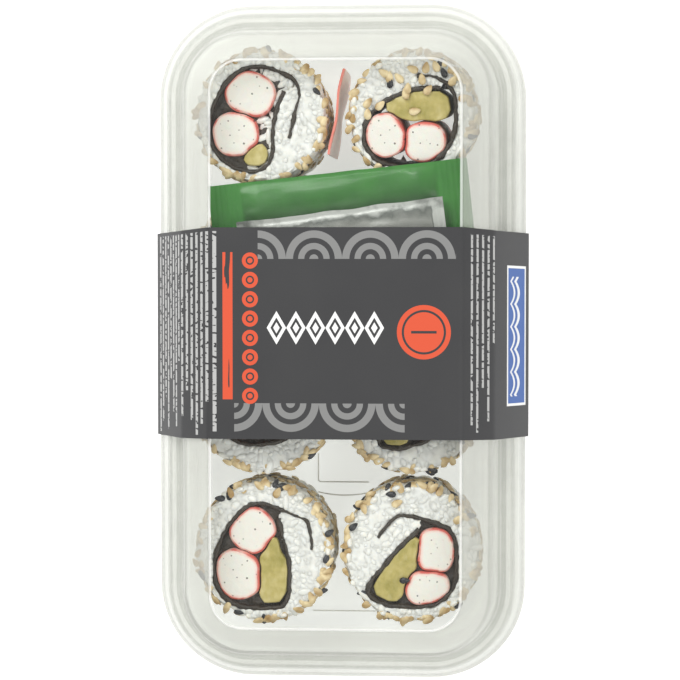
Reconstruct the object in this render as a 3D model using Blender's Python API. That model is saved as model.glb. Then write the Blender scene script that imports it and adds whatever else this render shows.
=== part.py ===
"""A shut pack of eight uramaki rolls.

The rolls stand on end in two columns of four, cut faces up, in a clear tray with a clear
raised lid. A green sachet and a smaller silvery one lie on the rolls of the second row, a
thin pink slice stands between the two rolls of the first row, and a card sleeve goes round
the middle of the whole pack. The pack rests on the underside of the sleeve.

X is the pack's width, Y its length, Z is up. The origin is on the table under the middle.
"""
import math
import random

import bmesh
import bpy
from mathutils import Matrix, Vector
from mathutils.geometry import delaunay_2d_cdt, intersect_point_line

MM = 0.001
GAP = 0.35

# Rim of the tray and lid, from which every other outline of the plastic is inset.
RIM_HALF_X = 51.5
RIM_HALF_Y = 94.25
RIM_RADIUS = 26.5
CORNER_STEPS = 5
PLASTIC = 0.7

# Plastic profiles from the middle out to the rim, as inset from the rim and height.
LID_PROFILE = [
    (18.1, 37.0), (17.2, 36.4), (9.6, 28.6), (9.0, 27.4),
    (7.6, 16.2), (3.6, 16.3), (3.0, 15.6), (0.25, 10.6),
]
TRAY_PROFILE = [
    (12.6, 1.55), (11.2, 2.0), (10.4, 3.8), (9.2, 14.6),
    (8.4, 15.1), (4.2, 15.25), (3.9, 14.9), (2.2, 11.2),
]

# Card sleeve: right half of its inner face in X and Z, and its reach in Y.
CARD = 0.45
SLEEVE_HALF = [(33.9, 37.35), (42.3, 28.75), (51.75, 10.4), (51.2, 9.4), (40.3, 0.45)]
SLEEVE_Y = (-26.0, 30.4)

# Rolls.
ROLL_FLOOR = 1.9
ROLL_HEIGHT = 25.0
OUTLINE_POINTS = 32
EDGE_ROUND = 0.8
RICE_BUMP = 0.45
RICE_RING = 3.4
NORI_THICK = 1.0
NORI_POINTS = 24
STICK_POINTS = 14
SEEDS_PER_ROLL = 13
SEED_LENGTH = 3.0
SEED_WIDTH = 1.7
SEED_THICK = 1.1
SEED_STANDS = 0.45
COLUMN_X = 20.3
ROW_Y = [62.0, 22.8, -16.6, -56.8]

# Sachets: length, width, thickness, centre in X, Y, Z, and the turn about Z.
GREEN_SACHET = dict(size=(70.6, 44.0, 3.0), centre=(0.6, 24.8, 29.7), turn=6.1)
GREY_SACHET = dict(size=(56.0, 38.0, 2.8), centre=(3.2, 17.5, 33.2), turn=7.0)

# Thin slice that stands between the first two rolls: its ends in X and Y.
SLICE_ENDS = [(2.1, 75.0), (-2.7, 51.4)]
SLICE_THICK = 0.9
SLICE_HEIGHT = 26.4

# What is rolled up, seen on the cut face about the roll's own middle. The seaweed starts
# as a hook in the rice, goes round the fillings and comes back between them and the rice.
FILLINGS = {
    "upright": dict(
        nori=[(14.0, 0.6), (12.9, 8.2), (8.4, 10.6), (3.0, 12.8), (-2.6, 13.9), (-7.0, 11.2),
              (-11.2, 5.8), (-13.9, -0.4), (-14.3, -7.0), (-12.6, -12.2), (-7.2, -15.9),
              (0.6, -16.6), (6.3, -15.2), (7.4, -9.6), (7.3, -2.0), (5.4, 4.2), (4.4, 9.6)],
        sticks=[(-3.3, 6.0, 11.6, 11.4, 40), (-7.3, -6.6, 11.2, 13.4, 15)],
        pickle=[(3.0, 4.4), (3.6, -0.2), (5.9, -3.4), (5.3, -13.6), (-0.6, -14.0), (-0.9, -4.4), (1.2, 1.8)],
    ),
    "slanting": dict(
        nori=[(-10.6, 4.6), (-6.9, 9.4), (-3.2, 11.7), (2.2, 10.7), (7.6, 9.2), (12.6, 6.4),
              (13.9, 0.0), (13.7, -7.6), (11.6, -13.0), (6.4, -16.4), (-0.6, -17.0), (-7.4, -16.4),
              (-12.6, -14.2), (-14.0, -10.8), (-11.2, -7.4), (-7.4, -2.6), (-2.6, 2.8), (2.2, 7.4)],
        sticks=[(7.3, 0.6, 10.2, 12.6, 0), (4.9, -10.9, 12.4, 9.6, 12)],
        pickle=[(2.2, 5.2), (1.6, -1.2), (-0.6, -6.6), (-3.2, -12.2), (-5.6, -14.6), (-11.4, -12.0),
                (-8.0, -6.2), (-2.6, 0.6)],
    ),
    "twin": dict(
        nori=[(8.4, -6.4), (9.9, 0.4), (11.4, 6.8), (9.6, 10.8), (5.0, 13.2), (-1.0, 14.6),
              (-7.2, 12.6), (-12.2, 6.6), (-14.8, -0.4), (-14.6, -7.2), (-11.4, -12.4), (-5.6, -15.6),
              (0.8, -15.4), (3.4, -10.6), (3.6, -4.0), (4.9, 2.4), (6.9, 7.4)],
        sticks=[(-3.0, 6.7, 13.2, 11.2, -20), (-7.3, -4.9, 11.8, 11.4, 10)],
        pickle=[(-3.4, -9.6), (-0.4, -8.4), (1.2, -10.6), (0.2, -13.2), (-4.2, -13.0)],
    ),
    "crossing": dict(
        nori=[(1.8, 12.9), (7.8, 12.5), (12.9, 8.8), (14.4, 2.0), (13.6, -6.0), (10.2, -12.2),
              (4.2, -15.9), (-4.0, -16.3), (-11.0, -14.4), (-15.2, -9.0), (-15.2, -3.0), (-12.0, 2.2),
              (-7.6, 5.4), (-2.6, 7.6), (3.2, 8.9), (9.4, 9.0)],
        sticks=[(-8.7, -6.1, 10.8, 12.6, 25), (4.2, -8.4, 12.2, 11.2, 0)],
        pickle=[(-8.2, 3.0), (-3.6, 5.4), (2.4, 6.9), (10.4, 6.6), (11.6, 0.8), (6.2, -1.2),
                (1.2, -0.6), (-3.8, 0.7)],
    ),
}

# Each roll: row and column, its filling, how far that is turned, its radii across and
# along the pack, its nudge in X and Y, and its lean from upright towards a direction.
ROLLS = [
    dict(name="11", filling="twin", turn=0, radii=(19.1, 19.3), nudge=(-0.75, 0.0), lean=0, towards=0),
    dict(name="12", filling="crossing", turn=0, radii=(18.5, 18.5), nudge=(0.4, 0.9), lean=6, towards=246),
    dict(name="21", filling="upright", turn=160, radii=(19.9, 19.3), nudge=(0, 0), lean=0, towards=0),
    dict(name="22", filling="twin", turn=-70, radii=(19.9, 19.3), nudge=(0, 0), lean=0, towards=0),
    dict(name="31", filling="crossing", turn=12, radii=(19.9, 19.5), nudge=(0, 0), lean=0, towards=0),
    dict(name="32", filling="slanting", turn=20, radii=(19.9, 19.5), nudge=(0, 0), lean=0, towards=0),
    dict(name="41", filling="upright", turn=0, radii=(20.0, 20.3), nudge=(0, 0), lean=0, towards=0),
    dict(name="42", filling="slanting", turn=0, radii=(20.0, 20.3), nudge=(0, 0), lean=0, towards=0),
]

LOOKS = {
    "clear_plastic": ((0.90, 0.92, 0.91), 0.12),
    "dark_card": ((0.055, 0.055, 0.057), 0.62),
    "green_film": ((0.05, 0.25, 0.05), 0.35),
    "silver_film": ((0.45, 0.46, 0.43), 0.35),
    "rice": ((0.80, 0.79, 0.73), 0.55),
    "nori": ((0.015, 0.013, 0.010), 0.60),
    "stick": ((0.85, 0.62, 0.56), 0.45),
    "pickle": ((0.52, 0.42, 0.12), 0.40),
    "pink_slice": ((0.80, 0.30, 0.28), 0.40),
}


def make_materials():
    """One Principled material for each finish in LOOKS."""
    materials = {}
    for name, (colour, roughness) in LOOKS.items():
        material = bpy.data.materials.new(name)
        material.use_nodes = True
        shader = material.node_tree.nodes["Principled BSDF"]
        shader.inputs["Base Color"].default_value = (*colour, 1.0)
        shader.inputs["Roughness"].default_value = roughness
        material.diffuse_color = (*colour, 1.0)
        materials[name] = material
    return materials


def make_object(name, verts, faces, material, sharp_deg=40):
    """A smooth-shaded mesh object from millimetre points, its faces turned outwards."""
    mesh = bpy.data.meshes.new(name)
    mesh.from_pydata([Vector(v) * MM for v in verts], [], faces)
    shape = bmesh.new()
    shape.from_mesh(mesh)
    bmesh.ops.recalc_face_normals(shape, faces=shape.faces)
    if shape.calc_volume(signed=True) < 0:
        bmesh.ops.reverse_faces(shape, faces=shape.faces)
    bmesh.ops.triangulate(shape, faces=shape.faces)
    shape.to_mesh(mesh)
    shape.free()
    mesh.shade_smooth()
    mesh.set_sharp_from_angle(angle=math.radians(sharp_deg))
    mesh.materials.append(material)
    thing = bpy.data.objects.new(name, mesh)
    bpy.context.collection.objects.link(thing)
    return thing


def offset_path(points, distance, closed=False):
    """The points of a path moved to its left by a distance, with mitred bends."""
    count = len(points)
    moved = []
    for i, point in enumerate(points):
        here = Vector(point)
        before = Vector(points[i - 1]) if closed or i > 0 else None
        after = Vector(points[(i + 1) % count]) if closed or i < count - 1 else None
        normals = []
        if before is not None:
            step = (here - before).normalized()
            normals.append(Vector((-step.y, step.x)))
        if after is not None:
            step = (after - here).normalized()
            normals.append(Vector((-step.y, step.x)))
        middle = sum(normals, Vector((0.0, 0.0))).normalized()
        moved.append(tuple(here + middle * distance / max(middle.dot(normals[0]), 0.5)))
    return moved


def smooth_path(points, count):
    """Evenly spaced points on a smooth curve through the given ones."""
    ends = [Vector(points[0]) * 2 - Vector(points[1]), Vector(points[-1]) * 2 - Vector(points[-2])]
    knots = [ends[0]] + [Vector(p) for p in points] + [ends[1]]
    fine = []
    for i in range(1, len(knots) - 2):
        a, b, c, d = knots[i - 1:i + 3]
        for k in range(8):
            t = k / 8
            fine.append(0.5 * (2 * b + (c - a) * t + (2 * a - 5 * b + 4 * c - d) * t * t
                               + (3 * b - a - 3 * c + d) * t ** 3))
    fine.append(knots[-2])
    lengths = [0.0]
    for p, q in zip(fine, fine[1:]):
        lengths.append(lengths[-1] + (q - p).length)
    path = []
    k = 0
    for i in range(count):
        target = lengths[-1] * i / (count - 1)
        while k < len(fine) - 2 and lengths[k + 1] < target:
            k += 1
        share = (target - lengths[k]) / (lengths[k + 1] - lengths[k])
        path.append(tuple(fine[k].lerp(fine[k + 1], share)))
    return path


def prism(outline, bottom, top):
    """Points and faces of an outline run straight up between two heights."""
    count = len(outline)
    verts = [(x, y, bottom) for x, y in outline] + [(x, y, top) for x, y in outline]
    faces = [tuple(range(count)), tuple(range(count, 2 * count))]
    faces += [(i, (i + 1) % count, count + (i + 1) % count, count + i) for i in range(count)]
    return verts, faces


def rim_loop(inset, height):
    """The pack's rounded rectangle, drawn in from the rim by an inset."""
    radius = RIM_RADIUS - inset
    loop = []
    for quarter in range(4):
        sign_x = (1, -1, -1, 1)[quarter]
        sign_y = (1, 1, -1, -1)[quarter]
        for step in range(CORNER_STEPS + 1):
            angle = math.pi / 2 * (quarter + step / CORNER_STEPS)
            x = sign_x * (RIM_HALF_X - RIM_RADIUS) + radius * math.cos(angle)
            y = sign_y * (RIM_HALF_Y - RIM_RADIUS) + radius * math.sin(angle)
            loop.append((x, y, height))
    return loop


def make_shell(name, profile, material):
    """Thin plastic: the profile swept round the pack, with its inner face below."""
    inner = offset_path(profile, PLASTIC)
    loops = [rim_loop(inset, z) for inset, z in profile]
    loops += [rim_loop(inset, z) for inset, z in reversed(inner)]
    size = len(loops[0])
    verts = [point for loop in loops for point in loop]
    faces = [tuple(range(size)), tuple(range(len(verts) - size, len(verts)))]
    for k in range(len(loops) - 1):
        for i in range(size):
            j = (i + 1) % size
            faces.append((k * size + i, k * size + j, (k + 1) * size + j, (k + 1) * size + i))
    return make_object(name, verts, faces, material)


def make_sleeve(material):
    """Card band: inner outline, the same outline one card thickness out, run along Y."""
    inner = SLEEVE_HALF + [(-x, z) for x, z in reversed(SLEEVE_HALF)]
    outer = offset_path(inner, CARD, closed=True)
    count = len(inner)
    verts = []
    for y in SLEEVE_Y:
        verts += [(x, y, z) for x, z in inner]
        verts += [(x, y, z) for x, z in outer]
    faces = []
    for i in range(count):
        j = (i + 1) % count
        front_in, front_out, back_in, back_out = 0, count, 2 * count, 3 * count
        faces.append((front_in + i, front_in + j, front_out + j, front_out + i))
        faces.append((back_in + i, back_in + j, back_out + j, back_out + i))
        faces.append((front_in + i, front_in + j, back_in + j, back_in + i))
        faces.append((front_out + i, front_out + j, back_out + j, back_out + i))
    return make_object("sleeve", verts, faces, material, sharp_deg=20)


def make_sachet(name, size, centre, turn, material):
    """A filled pillow with flat sealed ends: two sheets that part towards the middle."""
    across, along = 13, 8
    length, width, thick = size
    seal = 0.45
    verts = []
    for side in (-1, 1):
        for i in range(across):
            for j in range(along):
                u = 2 * i / (across - 1) - 1
                v = 2 * j / (along - 1) - 1
                fill = max(0.0, 1 - (abs(u) / 0.78) ** 4) ** 0.5 * max(0.0, 1 - abs(v) ** 3) ** 0.5
                ripple = 1 - 0.12 * math.cos(5 * u + 2 * v) * abs(v)
                height = seal / 2 + (thick - seal) / 2 * fill * ripple
                verts.append((u * length / 2, v * width / 2, side * height))
    sheet = across * along
    faces = []
    for i in range(across - 1):
        for j in range(along - 1):
            low = i * along + j
            quad = (low, low + 1, low + along + 1, low + along)
            faces.append(quad)
            faces.append(tuple(sheet + k for k in quad))
    border = [i * along for i in range(across)]
    border += [(across - 1) * along + j for j in range(1, along)]
    border += [i * along + along - 1 for i in range(across - 2, -1, -1)]
    border += list(range(along - 2, 0, -1))
    for a, b in zip(border, border[1:] + border[:1]):
        faces.append((a, b, sheet + b, sheet + a))
    sachet = make_object(name, verts, faces, material, sharp_deg=60)
    sachet.location = Vector(centre) * MM
    sachet.rotation_euler = (0, 0, math.radians(turn))
    return sachet


def make_slice(material):
    """The thin pink slice: a gently bent leaf that stands on the tray's floor."""
    start, end = (Vector(p) for p in SLICE_ENDS)
    side = Vector((-(end - start).y, (end - start).x)).normalized()
    steps = 8
    path = []
    for i in range(steps + 1):
        t = i / steps
        path.append(tuple(start.lerp(end, t) + side * 0.25 * math.sin(2 * math.pi * t)))
    outline = offset_path(path, SLICE_THICK / 2)
    outline += reversed(offset_path(path, -SLICE_THICK / 2))
    verts, faces = prism(outline, ROLL_FLOOR, ROLL_FLOOR + SLICE_HEIGHT)
    return make_object("pink_slice", verts, faces, material)


def inside(point, polygon):
    """Whether a point lies in a polygon."""
    x, y = point
    result = False
    for (ax, ay), (bx, by) in zip(polygon, polygon[1:] + polygon[:1]):
        if (ay > y) != (by > y) and x < (bx - ax) * (y - ay) / (by - ay) + ax:
            result = not result
    return result


def nearest_on_path(point, path):
    """The nearest point of a path, as a vector."""
    best = None
    for a, b in zip(path, path[1:]):
        spot, share = intersect_point_line(point, a, b)
        spot = Vector(a).lerp(Vector(b), min(max(share, 0.0), 1.0))
        if best is None or (spot - Vector(point)).length < (best - Vector(point)).length:
            best = spot
    return best


def keep_clear(outline, path, distance):
    """Push an outline's points away from a path until they are a distance from it."""
    pushed = []
    for point in outline:
        spot = nearest_on_path(point, path)
        away = Vector(point) - spot
        if away.length < distance:
            point = tuple(spot + away.normalized() * distance)
        pushed.append(point)
    return pushed


def turned(points, degrees):
    """Points turned about the roll's middle."""
    turn = Matrix.Rotation(math.radians(degrees), 2)
    return [tuple(turn @ Vector(p)) for p in points]


def fitted(filling, radii, degrees):
    """A filling's seaweed, sticks and pickle, turned and shrunk to leave a ring of rice."""
    farthest = max(Vector(p).length for p in filling["nori"])
    share = min(1.0, (min(radii) - RICE_RING) / farthest)

    def placed(points):
        return turned([(x * share, y * share) for x, y in points], degrees)

    path = smooth_path(placed(filling["nori"]), NORI_POINTS)
    reach = NORI_THICK / 2 + GAP
    sticks = [keep_clear(placed(stick_outline(*stick)), path, reach) for stick in filling["sticks"]]
    pickle = keep_clear(placed(rounded_outline(filling["pickle"])), path, reach)
    return path, sticks, pickle


def stick_outline(x, y, width, depth, degrees):
    """A crab stick's cut end: a rounded square, slightly squashed."""
    points = []
    for i in range(STICK_POINTS):
        angle = 2 * math.pi * i / STICK_POINTS
        c, s = math.cos(angle), math.sin(angle)
        reach = (abs(c) ** 2.5 + abs(s) ** 2.5) ** (-1 / 2.5)
        points.append((width / 2 * reach * c, depth / 2 * reach * s))
    return [(x + px, y + py) for px, py in turned(points, degrees)]


def rounded_outline(corners, share=0.22):
    """A polygon with each corner cut back into two points."""
    points = []
    for i, corner in enumerate(corners):
        here = Vector(corner)
        points.append(tuple(here.lerp(Vector(corners[i - 1]), share)))
        points.append(tuple(here.lerp(Vector(corners[(i + 1) % len(corners)]), share)))
    return points


def signed_area(polygon):
    """Twice a polygon's area, positive when it runs anticlockwise."""
    return sum(ax * by - bx * ay for (ax, ay), (bx, by) in zip(polygon, polygon[1:] + polygon[:1]))


def filling_hole(path):
    """The opening in the rice: the seaweed's outer side and back along its hook."""
    reach = NORI_THICK / 2 + GAP
    first, last = Vector(path[0]), Vector(path[-1])
    start = first + (first - Vector(path[1])).normalized() * GAP
    end = last + (last - Vector(path[-2])).normalized() * GAP
    longer = [tuple(start)] + path[1:-1] + [tuple(end)]
    outward = -reach if signed_area(path) > 0 else reach
    outer_side = offset_path(longer, outward)
    inner_side = offset_path(longer, -outward)
    hook = range(len(path) // 3)
    joint = min(hook, key=lambda i: (Vector(inner_side[i]) - Vector(outer_side[-1])).length)
    return outer_side + inner_side[joint::-1]


def make_seed():
    """A flat teardrop seed along X, as points and faces of few sides."""
    ring = 5
    verts = [(-SEED_LENGTH / 2, 0, 0)]
    for x, share in ((-0.24, 0.95), (0.12, 0.8)):
        for i in range(ring):
            angle = 2 * math.pi * i / ring
            verts.append((x * SEED_LENGTH, SEED_WIDTH / 2 * share * math.cos(angle),
                          SEED_THICK / 2 * share * math.sin(angle)))
    verts.append((SEED_LENGTH / 2, 0, 0))
    faces = []
    for i in range(ring):
        j = (i + 1) % ring
        faces.append((0, 1 + j, 1 + i))
        faces.append((1 + i, 1 + j, 1 + ring + j, 1 + ring + i))
        faces.append((1 + ring + i, 1 + ring + j, 1 + 2 * ring))
    return verts, faces


def seed_places(radii, hole, rng):
    """Seeds in even turns round the roll, most on its side and some on its cut face."""
    places = []
    for k in range(SEEDS_PER_ROLL):
        angle = 2 * math.pi * (k + rng.uniform(-0.25, 0.25)) / SEEDS_PER_ROLL
        outward = Vector((math.cos(angle), math.sin(angle), 0))
        if k % 3:
            radius = Vector((radii[0] * outward.x, radii[1] * outward.y)).length - 0.9
            height = ROLL_HEIGHT * rng.uniform(0.25, 0.88)
            spot = Vector((outward.x * radius, outward.y * radius, height))
            facing = outward
        else:
            radius = min(radii) - rng.uniform(2.6, 3.6)
            spot = Vector((outward.x * radius, outward.y * radius, ROLL_HEIGHT - 0.15))
            facing = Vector((0, 0, 1))
            near = nearest_on_path(spot.to_2d(), hole + hole[:1])
            if (near - spot.to_2d()).length < 2.2:
                continue
        places.append((spot, facing, rng.uniform(0, math.pi)))
    return places


def make_rice(name, radii, hole, rng, material):
    """Rice round the fillings, lumpy outside and on its cut faces, with seeds fused on."""
    low, high = 0.0, ROLL_HEIGHT
    levels = [(low, EDGE_ROUND), (low + 1.1, 0.1), (high * 0.5, 0.0), (high - 1.1, 0.1), (high, EDGE_ROUND)]
    verts = []
    for z, draw_in in levels:
        for i in range(OUTLINE_POINTS):
            angle = 2 * math.pi * i / OUTLINE_POINTS
            bump = SEED_STANDS + draw_in + rng.uniform(0, RICE_BUMP)
            verts.append(((radii[0] - bump) * math.cos(angle), (radii[1] - bump) * math.sin(angle), z))
    faces = []
    for k in range(len(levels) - 1):
        for i in range(OUTLINE_POINTS):
            j = (i + 1) % OUTLINE_POINTS
            base = k * OUTLINE_POINTS
            faces.append((base + i, base + j, base + OUTLINE_POINTS + j, base + OUTLINE_POINTS + i))
    grain_spots = []
    spacing = 4.6
    for row in range(-4, 5):
        for column in range(-4, 5):
            spot = (spacing * (column + 0.5 * (row % 2)) + rng.uniform(-0.7, 0.7),
                    spacing * 0.87 * row + rng.uniform(-0.7, 0.7))
            if Vector(spot).length > min(radii) - 2.6 or inside(spot, hole):
                continue
            near = nearest_on_path(spot, hole + hole[:1])
            if (near - Vector(spot)).length > 1.1:
                grain_spots.append(spot)
    hole_base = []
    for ring, (z, lift) in ((0, (low, 0.35)), (len(levels) - 1, (high, 0.4))):
        first = ring * OUTLINE_POINTS
        outline = [tuple(v[:2]) for v in verts[first:first + OUTLINE_POINTS]]
        flat = [Vector(p) for p in outline + hole + grain_spots]
        edges = [(i, (i + 1) % len(outline)) for i in range(len(outline))]
        edges += [(len(outline) + i, len(outline) + (i + 1) % len(hole)) for i in range(len(hole))]
        cells = delaunay_2d_cdt(flat, edges, [], 0, 1e-6)[2]
        hole_base.append(len(verts))
        verts += [(x, y, z) for x, y in hole]
        verts += [(x, y, z + lift * rng.uniform(0.1, 1.0)) for x, y in grain_spots]
        for cell in cells:
            middle = sum((flat[i] for i in cell), Vector((0.0, 0.0))) / 3
            if inside(middle, outline) and not inside(middle, hole):
                faces.append(tuple(first + i if i < len(outline) else hole_base[-1] + i - len(outline)
                                   for i in cell))
    for i in range(len(hole)):
        j = (i + 1) % len(hole)
        faces.append((hole_base[0] + i, hole_base[0] + j, hole_base[1] + j, hole_base[1] + i))
    rice = make_object(name, verts, faces, material)

    seeds = bpy.data.collections.new("seeds")
    bpy.context.scene.collection.children.link(seeds)
    seed_verts, seed_faces = make_seed()
    for spot, facing, spin in seed_places(radii, hole, rng):
        seed = make_object("seed", seed_verts, seed_faces, material)
        bpy.context.collection.objects.unlink(seed)
        seeds.objects.link(seed)
        turn = facing.to_track_quat("Z", "Y").to_matrix().to_4x4() @ Matrix.Rotation(spin, 4, "Z")
        seed.matrix_world = Matrix.Translation(spot * MM) @ turn
    union = rice.modifiers.new("seeds", "BOOLEAN")
    union.operation = "UNION"
    union.solver = "EXACT"
    union.operand_type = "COLLECTION"
    union.collection = seeds
    bpy.context.view_layer.update()
    fused = bpy.data.meshes.new_from_object(rice.evaluated_get(bpy.context.evaluated_depsgraph_get()))
    rice.modifiers.remove(union)
    rice.data = fused
    for seed in list(seeds.objects):
        bpy.data.objects.remove(seed)
    bpy.data.collections.remove(seeds)
    return rice


def make_roll(plan, place, materials):
    """One roll's five pieces, built about the roll's own axis and then set in the pack."""
    name = plan["name"]
    rng = random.Random(int(name))
    path, sticks, pickle = fitted(FILLINGS[plan["filling"]], plan["radii"], plan["turn"])
    pieces = [make_rice(f"rice_{name}", plan["radii"], filling_hole(path), rng, materials["rice"])]

    side = NORI_THICK / 2
    strip = offset_path(path, side) + list(reversed(offset_path(path, -side)))
    pieces.append(make_object(f"nori_{name}", *prism(strip, 0.2, ROLL_HEIGHT - 0.1), materials["nori"]))

    for letter, outline in zip("ab", sticks):
        verts, faces = prism(outline, 0.0, ROLL_HEIGHT + 0.1)
        pieces.append(make_object(f"stick_{letter}_{name}", verts, faces, materials["stick"]))
    verts, faces = prism(pickle, 0.1, ROLL_HEIGHT - 0.5)
    pieces.append(make_object(f"pickle_{name}", verts, faces, materials["pickle"]))

    lean = math.radians(plan["lean"])
    direction = math.radians(plan["towards"])
    axis = Vector((-math.sin(direction), math.cos(direction), 0))
    middle = Vector((0, 0, ROLL_HEIGHT / 2))
    lifted = ROLL_FLOOR + ROLL_HEIGHT / 2 + max(plan["radii"]) * math.sin(lean)
    spot = Vector((place[0] + plan["nudge"][0], place[1] + plan["nudge"][1], lifted))
    setting = (Matrix.Translation(spot * MM) @ Matrix.Rotation(lean, 4, axis)
               @ Matrix.Translation(-middle * MM))
    for piece in pieces:
        piece.matrix_world = setting


def main():
    for thing in list(bpy.data.objects):
        bpy.data.objects.remove(thing)
    materials = make_materials()
    make_shell("tray", TRAY_PROFILE, materials["clear_plastic"])
    make_shell("lid", LID_PROFILE, materials["clear_plastic"])
    make_sleeve(materials["dark_card"])
    make_sachet("green_sachet", material=materials["green_film"], **GREEN_SACHET)
    make_sachet("grey_sachet", material=materials["silver_film"], **GREY_SACHET)
    make_slice(materials["pink_slice"])
    for index, plan in enumerate(ROLLS):
        row, column = divmod(index, 2)
        make_roll(plan, (COLUMN_X * (2 * column - 1), ROW_Y[row]), materials)


main()
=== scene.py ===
# %% [markdown]
# # A shut pack of uramaki rolls
#
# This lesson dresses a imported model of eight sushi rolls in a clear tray. The model's solids give
# every place and size. Each step below makes one kind of piece or one finish: clear plastic,
# printed card, foil and film sachets, and the rolls with their rice, seeds, seaweed and fillings.
# Lengths are in millimetres until a mesh is made, because kitchen things are easier to think
# about that way.

import math
import random

import bpy
import numpy as np
from mathutils import Matrix, Vector, noise
from mathutils.geometry import delaunay_2d_cdt


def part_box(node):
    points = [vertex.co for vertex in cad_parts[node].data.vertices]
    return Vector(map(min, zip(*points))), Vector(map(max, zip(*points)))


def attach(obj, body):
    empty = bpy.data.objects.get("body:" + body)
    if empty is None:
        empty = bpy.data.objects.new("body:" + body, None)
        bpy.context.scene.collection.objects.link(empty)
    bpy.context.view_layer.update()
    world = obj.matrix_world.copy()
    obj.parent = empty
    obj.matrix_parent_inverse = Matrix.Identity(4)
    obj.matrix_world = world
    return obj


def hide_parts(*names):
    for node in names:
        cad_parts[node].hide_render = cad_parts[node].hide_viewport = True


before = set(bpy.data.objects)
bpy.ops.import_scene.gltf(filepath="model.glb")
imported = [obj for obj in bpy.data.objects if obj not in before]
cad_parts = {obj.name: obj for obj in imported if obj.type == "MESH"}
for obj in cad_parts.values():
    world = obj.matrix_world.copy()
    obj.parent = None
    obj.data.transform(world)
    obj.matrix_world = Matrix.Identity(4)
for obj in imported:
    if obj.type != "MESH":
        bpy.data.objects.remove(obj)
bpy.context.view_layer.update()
MM = 0.001
print("frame holds", len(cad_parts), "solids")

# %% [markdown]
# ## Shader maths as plain expressions
#
# A material is a graph of nodes. Written node by node, a small formula takes a page. Here one
# small class wraps an output socket, so that `1 - mask * 0.5` adds the Math nodes by itself. Every
# other node comes from its `node` method.

# %% A socket with operators
class Wire:
    """An output socket of a material's nodes that can be used in a formula."""

    def __init__(self, socket):
        self.socket = socket

    def node(self, kind, settings=None, sockets=None, output=0):
        """Add a node: settings come first, then values or wires for its sockets."""
        tree = self.socket.id_data
        made = tree.nodes.new(kind)
        for key, value in (settings or {}).items():
            if key == "stops":
                ramp = made.color_ramp
                while len(ramp.elements) < len(value):
                    ramp.elements.new(0.5)
                for element, (place, colour) in zip(ramp.elements, value):
                    element.position = place
                    element.color = (*colour, 1)
            else:
                setattr(made, key, value)
        for key, value in (sockets or {}).items():
            if isinstance(value, Wire):
                tree.links.new(value.socket, made.inputs[key])
            elif value is not None:
                made.inputs[key].default_value = value
        return Wire(made.outputs[output])

    def math(self, operation, first, second=None):
        return self.node("ShaderNodeMath", {"operation": operation}, {0: first, 1: second})

    def __add__(self, other):
        return self.math("ADD", self, other)

    __radd__ = __add__

    def __sub__(self, other):
        return self.math("SUBTRACT", self, other)

    def __rsub__(self, other):
        return self.math("SUBTRACT", other, self)

    def __mul__(self, other):
        return self.math("MULTIPLY", self, other)

    __rmul__ = __mul__

    def __pow__(self, other):
        return self.math("POWER", self, other)

    def __gt__(self, other):
        return self.math("GREATER_THAN", self, other)

    def __lt__(self, other):
        return self.math("LESS_THAN", self, other)

    def choose(self, low, high):
        """A colour between low and high, with this wire as the share of high."""
        colours = [c if isinstance(c, Wire) else (*c, 1) for c in (low, high)]
        return self.node("ShaderNodeMix", {"data_type": "RGBA"},
                         {0: self, 6: colours[0], 7: colours[1]}, output=2)

    def noise(self, scale, detail=3, stretch=(1, 1, 1)):
        """Noise at a scale in lumps per metre, over this wire's coordinates."""
        spread = self.node("ShaderNodeVectorMath", {"operation": "MULTIPLY"}, {0: self, 1: stretch})
        return self.node("ShaderNodeTexNoise", {}, {"Vector": spread, "Scale": scale, "Detail": detail})

    def ramp(self, stops):
        """The colour at this wire's place on a ramp of stops."""
        return self.node("ShaderNodeValToRGB", {"stops": stops}, {"Fac": self})

    def painted(self, name):
        """A value that a mesh keeps for each of its points."""
        return self.node("ShaderNodeAttribute", {"attribute_name": name}, output=2)

    def folded(self, size):
        """This wire run up and down between 0 and a size."""
        return self.math("PINGPONG", self, size)


def new_material(name, preview):
    """An empty material and the wire of its object coordinates."""
    material = bpy.data.materials.new(name)
    material.use_nodes = True
    material.node_tree.nodes.clear()
    material.diffuse_color = (*preview, 1)
    coordinates = material.node_tree.nodes.new("ShaderNodeTexCoord")
    return material, Wire(coordinates.outputs["Object"])


def set_surface(where, sockets, bump=None, bump_mm=0.1, see_through=None, tint=(0.985, 0.99, 0.985)):
    """Finish a material: Principled sockets, a bump wire, and a wire for how solid it is."""
    if bump is not None:
        relief = {"Height": bump, "Distance": bump_mm * MM, "Strength": 1.0}
        sockets["Normal"] = where.node("ShaderNodeBump", {}, relief)
    shader = where.node("ShaderNodeBsdfPrincipled", {}, sockets)
    if see_through is not None:
        clear = where.node("ShaderNodeBsdfTransparent", {}, {"Color": (*tint, 1)})
        shader = where.node("ShaderNodeMixShader", {}, {0: see_through, 1: clear, 2: shader})
    tree = where.socket.id_data
    output = tree.nodes.new("ShaderNodeOutputMaterial")
    tree.links.new(shader.socket, output.inputs["Surface"])


print("shader helper ready")

# %% [markdown]
# ## Finishes
#
# Clear plastic could be glass that bends light, which is slow and noisy in a thin box. A thin
# sheet hardly bends what is behind it, so each sheet is mixed from a see-through shader and a
# glossy one, and the gloss grows where the sheet turns edge on. Food looks moist because its
# roughness is low while its colour varies in small blotches.

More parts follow.
